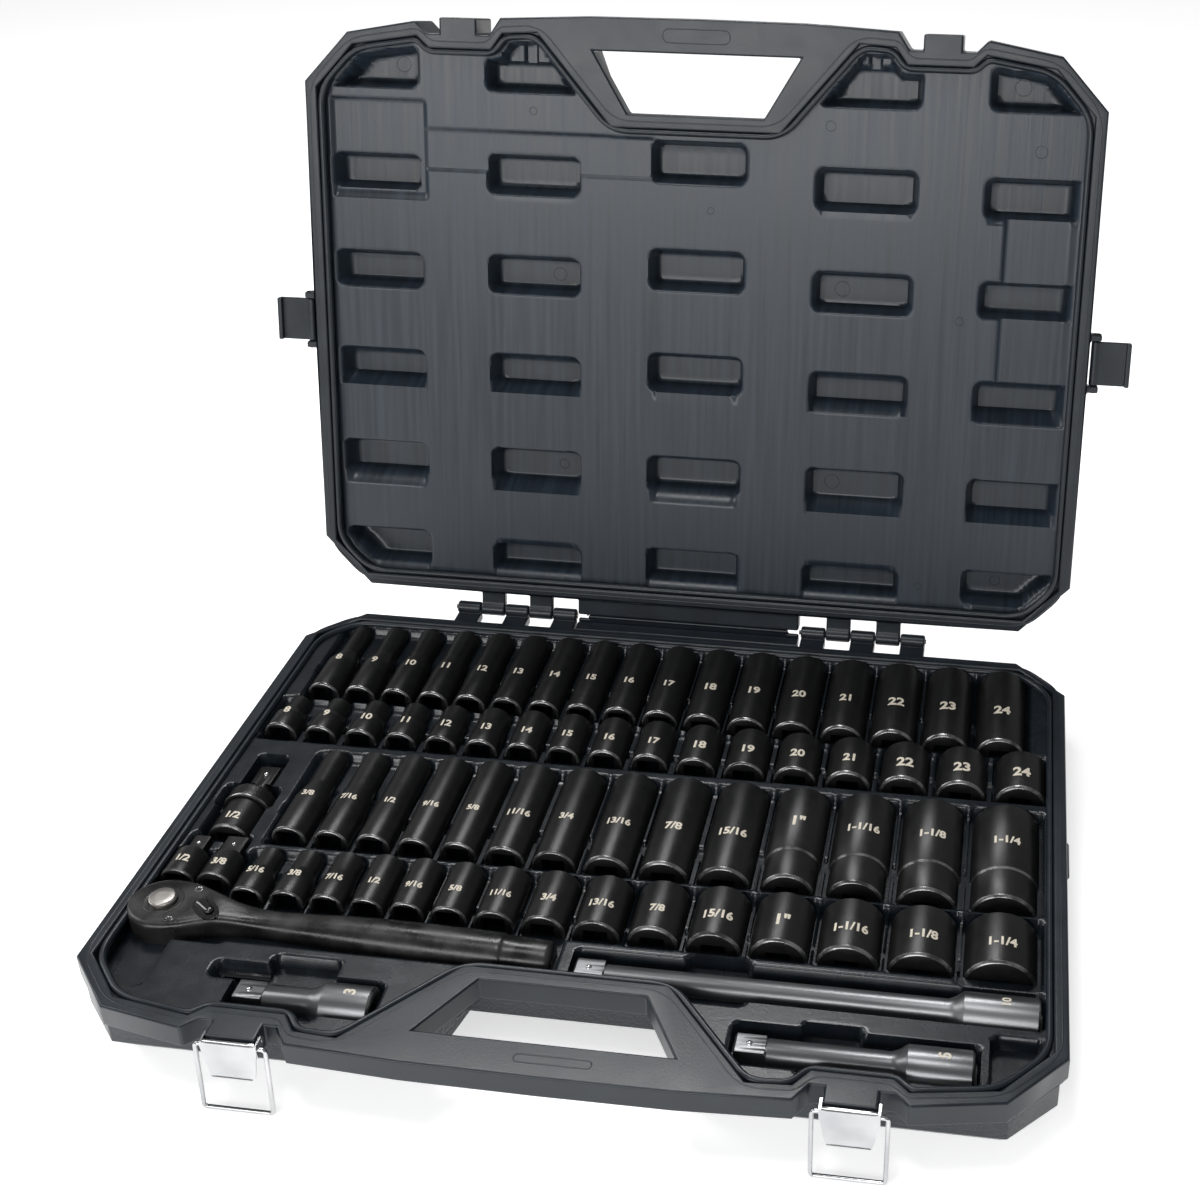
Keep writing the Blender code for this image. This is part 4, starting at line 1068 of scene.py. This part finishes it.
def build_detent(name, centre, radius, body):
    """A steel ball set in the drive square, of which the outer part shows."""
    turn = np.linspace(0.06, math.pi - 0.06, 9)
    profile = list(zip(-radius * np.cos(turn), radius * np.sin(turn)))
    ring_piece(name, turned_rings(profile, "z", centre, 16), bright_steel(), body,
               slot="bright_steel")


def bar_rings(left, right, y, shaft, radius, socket_length):
    """A bar along X as one closed surface: square tip, shaft, socket end, and back into its bore."""
    length = right - left
    z = TOOL_TOP - 1 - radius
    tip = 12.7
    profile = [
        (0.0, (4, tip - 2.2)), (1.1, (4, tip)), (16.0, (4, tip)), (16.6, shaft - 0.6), (17.4, shaft),
        (length - socket_length - 8, shaft), (length - socket_length - 4, shaft + (radius - shaft) * 0.35),
        (length - socket_length, radius - 0.2), (length - socket_length + 0.7, radius),
        (length - 1.3, radius), (length - 0.2, radius - 1.1), (length, radius - 1.5),
        (length, (4, DRIVE + 1.2)), (length - 0.8, (4, DRIVE)), (length - 16.5, (4, DRIVE)),
        (length - 16.6, 2.0),
    ]
    return turned_rings(profile, "x", (left, y, z))


def build_bars():
    for name, left, right, y, shaft, radius, socket_length, label in BARS:
        rings = bar_rings(left, right, y, shaft, radius, socket_length)
        # The rounded rim at the socket end (face ring 9) gets the lighter steel as a painted highlight.
        ring_piece(name + "_turned", rings, bar_steel(), name, replaced=(name,),
                   slot="black_oxide_steel", more_materials=(lip_steel(),),
                   material_of=rubbed_rings(rings, 9))
        z = TOOL_TOP - 1 - radius
        build_detent(name + "_ball", (left + 8.0, y, z + 5.4), 2.0, name)
        build_mark("mark_" + name, label, 6.0 if label != "10" else 4.6, name, radius,
                   (right - socket_length * 0.45, y, z), turn=math.pi / 2)


def build_adapters():
    for name, x, female, male, label in ADAPTERS:
        z = TOOL_TOP - 10.5
        profile = [
            (DRIVE_DEPTH - 4, 2.0), (DRIVE_DEPTH - 4.1, (4, female)), (0.8, (4, female)),
            (0.0, (4, female + 1.2)), (0.0, 9.2), (0.25, 9.6), (1.2, 10.5), (20.0, 10.5),
            (22.5, 9.4), (24.0, male * 0.66), (24.2, (4, male)), (36.6, (4, male)),
            (37.8, (4, male - 2.0)),
        ]
        rings = turned_rings(profile, "y", (x, -90.0, z))
        # The front chamfer (face ring 5) gets the lighter steel as a painted highlight.
        ring_piece(name + "_turned", rings, black_steel(), name, replaced=(name,),
                   slot="black_oxide_steel", more_materials=(lip_steel(),),
                   material_of=rubbed_rings(rings, 5))
        build_detent(name + "_ball", (x, -59.5, z + male / 2 - 0.9), 1.7, name)
        build_mark("mark_" + name, label, 4.8, name, 10.5, (x, -79.0, z))


def build_universal_joint():
    """The joint's socket half, its knurled collar, and the drive half that tilts on a ball."""
    place = (JOINT_X, -46.0, JOINT_Z)
    socket = [(15.9, 2.0), (16.0, (4, DRIVE)), (0.8, (4, DRIVE)), (0.0, (4, DRIVE + 1.3)),
              (0.0, 11.4), (0.3, 11.9), (1.4, 13.0), (25.4, 13.0), (37.6, 13.0), (38.8, 12.2),
              (38.6, 10.4), (33.0, 8.0)]
    rings = turned_rings(socket, "y", place)
    # The front chamfer (face ring 5) gets the lighter steel as a painted highlight.
    ring_piece("joint_socket_turned", rings, black_steel(), "universal_joint",
               replaced=("universal_socket_half",), slot="black_oxide_steel",
               more_materials=(lip_steel(),),
               material_of=rubbed_rings(rings, 5))
    build_collar()
    drive = [(-9.2, 1.2), (-8.3, 4.6), (-6.0, 7.4), (-2.5, 9.2), (0.0, 9.5), (3.0, 9.0), (5.6, 7.4),
             (8.0, 6.6), (12.0, 6.6), (12.3, (4, 12.7)), (29.0, (4, 12.7)), (30.4, (4, 10.6))]
    rings = turned_rings(drive, "y", (JOINT_X, JOINT_BALL_Y, JOINT_Z))
    ring_piece("joint_drive_turned", rings, black_steel(), "universal_drive",
               replaced=("universal_drive_half",), slot="black_oxide_steel")
    build_detent("joint_ball", (JOINT_X, JOINT_BALL_Y + 22.0, JOINT_Z + 5.4), 2.0, "universal_drive")
    build_mark("mark_joint", "1/2", 5.2, "universal_joint", 13.0, (JOINT_X, -35.5, JOINT_Z))


def build_collar():
    """A ring whose outside carries a diagonal knurl: the product of two waves that cross."""
    columns = 132
    y = np.concatenate([[0.0, 0.4, 1.4, 1.9], 2.6 + 0.7 * np.arange(13), [11.6, 12.0]])
    base = np.array([14.4, 15.1, 15.4, 15.0] + [15.1] * 12 + [15.0, 14.6, 14.0])
    angle = np.arange(columns) * TAU / columns
    knurl = 0.36 * np.abs(np.sin(22 * angle[None, :] + y[:, None] * 1.25)) \
        * np.abs(np.sin(22 * angle[None, :] - y[:, None] * 1.25))
    radius = base[:, None] + np.where((base[:, None] > 15.05) & (y[:, None] > 2.0), knurl, 0.0)
    outer = np.stack([JOINT_X + radius * np.sin(angle), -20.0 + y[:, None] + 0 * radius,
                      JOINT_Z + radius * np.cos(angle)], axis=-1)
    inner_y = np.array([12.0, 0.0])
    inner = np.stack([JOINT_X + 13.45 * np.sin(angle) + 0 * inner_y[:, None],
                      -20.0 + inner_y[:, None] + 0 * angle,
                      JOINT_Z + 13.45 * np.cos(angle) + 0 * inner_y[:, None]], axis=-1)
    rings = np.concatenate([outer, inner])
    # The collar's front edge (face ring 1) gets the lighter steel as a painted highlight.
    ring_piece("joint_collar_knurled", rings, black_steel(), "universal_joint", closed=True,
               replaced=("universal_collar",), slot="black_oxide_steel",
               more_materials=(lip_steel(),),
               material_of=rubbed_rings(rings, 1, closed=True), sharp=50.0)


# ------------------------------------------------------------------ ratchet

def build_ratchet_body():
    """The forging as sections along X: superellipses of changing width, height and squareness."""
    x = HEAD_X + np.concatenate([
        -19.5 * np.cos(np.linspace(0.06, math.pi / 2, 16)),
        np.array([4.0, 8.0, 12.0, 16.0, 20.0, 24.0, 28.0, 31.0, 34.0, 37.0, 40.0, 43.0, 46.0, 50.0, 56.0,
                  64.0, 74.0, 86.0, 98.0, 108.0, 118.0, 132.0, 150.0, 168.0, 184.0, 193.0, 195.0, 196.0,
                  197.5, 205.0, 213.0, 220.0, 222.0, 223.4])])
    from_head = x - HEAD_X
    knots = [-19.5, -10, 0, 8, 16, 24, 32, 40, 46, 56, 70, 90, 110, 130, 160, 195, 197, 213, 222, 224]
    half = np.interp(from_head, knots, [0, 16.9, 19.5, 18.9, 16.8, 13.6, 10.6, 8.8, 8.2, 7.8, 8.1,
                                        9.3, 10.8, 11.6, 11.9, 11.9, 11.0, 11.0, 10.6, 8.6])
    round_end = np.sqrt(np.clip(19.5 ** 2 - from_head ** 2, 0, None))
    half = np.where(from_head < 0, np.maximum(round_end, 1.0), half)
    top = np.interp(from_head, knots, [50, 50, 50, 50, 50, 50, 50, 48.4, 47.6, 46.9, 47.0, 48.2, 49.7,
                                       50.5, 50.8, 50.8, 49.9, 49.9, 49.5, 47.5])
    low = np.interp(from_head, knots, [28, 28, 28, 28, 28, 28.4, 29.4, 30.4, 30.8, 31.1, 31.0, 29.8,
                                       28.3, 27.5, 27.2, 27.2, 28.1, 28.1, 28.5, 30.5])
    power = np.interp(from_head, [-20, 16, 34, 60, 120], [9.0, 9.0, 5.0, 2.6, 2.1])
    angle = np.arange(56) * TAU / 56 + TAU / 112
    cos, sin = np.cos(angle), np.sin(angle)
    stretch = (np.abs(cos) ** power[:, None] + np.abs(sin) ** power[:, None]) ** (-1 / power[:, None])
    lean = np.interp(from_head, [40.0, 224.0], [0.0, -5.5])
    y = HEAD_Y + lean[:, None] + half[:, None] * stretch * cos
    z = (top + low)[:, None] / 2 + (top - low)[:, None] / 2 * stretch * sin
    rings = np.stack([x[:, None] + 0 * y, y, z], axis=-1)
    ring_piece("ratchet_forging", rings, ratchet_steel(), "ratchet",
               replaced=("ratchet_body", "ratchet_cover"), slot="black_oxide_steel", sharp=50.0)


def flat_plate(name, outline, low, high, rounding, material, body, slot, replaced=()):
    """A plate with a rounded top edge: its outline is drawn in a little as it rises."""
    outline = np.asarray(outline, float)
    middle = outline.mean(axis=0)
    reach = np.linalg.norm(outline - middle, axis=1).mean()
    rings = [np.column_stack([outline, np.full(len(outline), low)])]
    for turn in np.linspace(0.0, math.pi / 2, 4):
        inset = rounding * (1 - math.cos(turn)) / reach
        z = high - rounding + rounding * math.sin(turn)
        rings.append(np.column_stack([outline + (middle - outline) * inset,
                                      np.full(len(outline), z)]))
    return ring_piece(name, np.stack(rings), material, body, slot=slot, replaced=replaced, sharp=50.0)


def ellipse(x, y, along, across, turn=0.0, columns=40):
    angle = np.arange(columns) * TAU / columns
    u, v = along * np.cos(angle), across * np.sin(angle)
    return np.column_stack([x + u * math.cos(turn) - v * math.sin(turn),
                            y + u * math.sin(turn) + v * math.cos(turn)])


def build_ratchet_head():
    """The head's details: step ring, button, lever in its recess, screws, and the drive."""
    top = HEAD_TOP
    ring = [(0.0, 11.2), (0.35, 11.0), (0.5, 10.4), (0.25, 9.8), (0.25, 8.3), (-1.0, 8.2)]
    ring_piece("button_seat_ring", turned_rings(ring, "z", (HEAD_X, HEAD_Y, top)), ratchet_steel(),
               "ratchet", slot="black_oxide_steel", sharp=50.0)
    button = [(-8.0, 3.9), (-0.6, 4.0), (-0.4, 7.6), (2.0, 7.7), (2.6, 7.5), (2.9, 7.0), (3.35, 6.7),
              (3.5, 6.3), (3.5, 3.0)]
    ring_piece("release_button_turned", turned_rings(button, "z", (HEAD_X, HEAD_Y, top)),
               brushed_steel(), "release_button", replaced=("release_button",),
               slot="brushed_steel", sharp=30.0)
    lever_turn = math.radians(LEVER_TURN)
    recess = ellipse(LEVER_X + 3.0, HEAD_Y - 3.0, 10.5, 6.0, lever_turn)
    flat_plate("lever_recess", recess, top - 1.0, top + 0.12, 0.1, gloss_black(), "ratchet", "gloss_black")
    t = np.linspace(0.0, 1.0, 15)[:, None]
    angle = np.arange(24) * TAU / 24
    reach = -3.6 + 14.0 * t
    half = (3.6 - 1.0 * t) * np.sqrt(np.clip(1 - ((t - 0.5) * 2) ** 8, 0.02, 1))
    rise = (1.9 - 0.5 * t) * np.sqrt(np.clip(1 - ((t - 0.5) * 2) ** 8, 0.02, 1))
    u = reach + 0 * angle
    v = half * np.cos(angle)
    along = (math.cos(lever_turn), math.sin(lever_turn))
    lever = np.stack([LEVER_X + u * along[0] - v * along[1], HEAD_Y + u * along[1] + v * along[0],
                      top + 1.2 + rise * np.sin(angle)], axis=-1)
    ring_piece("reverse_lever_thumb", lever, gloss_black(), "reverse_lever",
               replaced=("reverse_lever",), slot="gloss_black", sharp=60.0)
    screw = [(-0.5, 2.3), (0.12, 2.25), (0.2, 2.0), (-0.15, 1.2), (-0.5, 1.1), (-0.6, 0.4)]
    for index, (dx, dy) in enumerate(((15.5, 11.5), (9.6, -13.6))):
        rings = turned_rings(screw, "z", (HEAD_X + dx, HEAD_Y + dy, top), 24)
        ring_piece(f"cover_screw_{index + 1}", rings, lip_steel(), "ratchet",
                   slot="black_oxide_steel", sharp=30.0)
    drive = [(0.0, (4, 10.4)), (1.2, (4, 12.6)), (16.5, (4, 12.6)), (16.6, 9.2), (19.0, 9.2)]
    ring_piece("drive_square_turned", turned_rings(drive, "z", (HEAD_X, HEAD_Y, 11.0)), ratchet_steel(),
               "drive_gear", replaced=("drive_gear",), slot="black_oxide_steel")


# ------------------------------------------------------------------ operators

class BuildStep(bpy.types.Operator):
    """Shared behaviour of the steps: each runs its functions and raises if one of them fails."""

    bl_options = {"REGISTER", "UNDO"}
    steps = ()

    def execute(self, context):
        for step in self.steps:
            step()
        return {"FINISHED"}


def build_case_shells():
    rounding = settings().rim_rounding
    moulded_copy("base_shell_moulded", "base_shell", case_plastic(), "case_base", rounding, "case_plastic")
    moulded_copy("lid_shell_moulded", "lid_shell", case_plastic(), "lid", rounding, "case_plastic")
    for side in ("left", "right"):
        name = "side_latch_" + side
        moulded_copy(name + "_moulded", name, case_plastic(), name, 0.0007, "case_plastic")


def dress_packed_nodes():
    """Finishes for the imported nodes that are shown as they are."""
    for name, material in (("hinge_pin_left", brushed_steel()), ("hinge_pin_right", brushed_steel()),
                           ("pawl", brushed_steel())):
        mesh = frame["nodes"][name].data
        mesh.materials.clear()
        mesh.materials.append(material)


class SOCKETSET_OT_case(BuildStep):
    """Build the moulded shells of the base and the lid and finish the hinge pins"""

    bl_idname = "socketset.case"
    bl_label = "Case shells"
    steps = (build_case_shells, build_rim_beads, build_handle_slots, dress_packed_nodes)


class SOCKETSET_OT_liner(BuildStep):
    """Build the lid's liner with its grid of pockets"""

    bl_idname = "socketset.liner"
    bl_label = "Lid liner"
    steps = (build_liner,)


class SOCKETSET_OT_tray(BuildStep):
    """Build the tool tray with its beds, dividers and pockets"""

    bl_idname = "socketset.tray"
    bl_label = "Tool tray"
    steps = (build_tray,)


class SOCKETSET_OT_latches(BuildStep):
    """Build the two draw latches"""

    bl_idname = "socketset.latches"
    bl_label = "Latches"
    steps = (build_latches,)


class SOCKETSET_OT_deep_sockets(BuildStep):
    """Build the deep metric and inch sockets"""

    bl_idname = "socketset.deep_sockets"
    bl_label = "Deep sockets"
    steps = (lambda: build_sockets(("deep_metric", "deep_inch")),)


class SOCKETSET_OT_short_sockets(BuildStep):
    """Build the short metric and inch sockets"""

    bl_idname = "socketset.short_sockets"
    bl_label = "Short sockets"
    steps = (lambda: build_sockets(("short_metric", "short_inch")),)


class SOCKETSET_OT_marks(BuildStep):
    """Build the size marks on the sockets"""

    bl_idname = "socketset.marks"
    bl_label = "Size marks"
    steps = (build_socket_marks,)


class SOCKETSET_OT_bars(BuildStep):
    """Build the three extension bars and the two adapters"""

    bl_idname = "socketset.bars"
    bl_label = "Bars and adapters"
    steps = (build_bars, build_adapters)


class SOCKETSET_OT_joint(BuildStep):
    """Build the universal joint"""

    bl_idname = "socketset.joint"
    bl_label = "Universal joint"
    steps = (build_universal_joint,)


class SOCKETSET_OT_ratchet(BuildStep):
    """Build the ratchet with its button, lever and screws"""

    bl_idname = "socketset.ratchet"
    bl_label = "Ratchet"
    steps = (build_ratchet_body, build_ratchet_head)


class SOCKETSET_OT_stage(BuildStep):
    """Build the floor, the lamps and the camera"""

    bl_idname = "socketset.stage"
    bl_label = "Stage"
    steps = (build_stage,)


STEPS = (SOCKETSET_OT_case, SOCKETSET_OT_liner, SOCKETSET_OT_tray, SOCKETSET_OT_latches,
         SOCKETSET_OT_deep_sockets, SOCKETSET_OT_short_sockets, SOCKETSET_OT_marks,
         SOCKETSET_OT_bars, SOCKETSET_OT_joint, SOCKETSET_OT_ratchet, SOCKETSET_OT_stage)


class SOCKETSET_PT_panel(bpy.types.Panel):
    """The sidebar panel that lists the settings and the steps"""

    bl_idname = "SOCKETSET_PT_panel"
    bl_label = "Socket set"
    bl_space_type = "VIEW_3D"
    bl_region_type = "UI"
    bl_category = "Socket Set"

    def draw(self, context):
        for name in SocketSetSettings.__annotations__:
            self.layout.prop(context.scene.socket_set, name)
        for step in STEPS:
            self.layout.operator(step.bl_idname)


CLASSES = (SocketSetSettings, *STEPS, SOCKETSET_PT_panel)


def register():
    for item in CLASSES:
        bpy.utils.register_class(item)
    bpy.types.Scene.socket_set = bpy.props.PointerProperty(type=SocketSetSettings)


def unregister():
    del bpy.types.Scene.socket_set
    for item in reversed(CLASSES):
        bpy.utils.unregister_class(item)


def main():
    register()
    for step in STEPS:
        group, name = step.bl_idname.split(".")
        getattr(getattr(bpy.ops, group), name)()


if __name__ == "__main__":
    main()
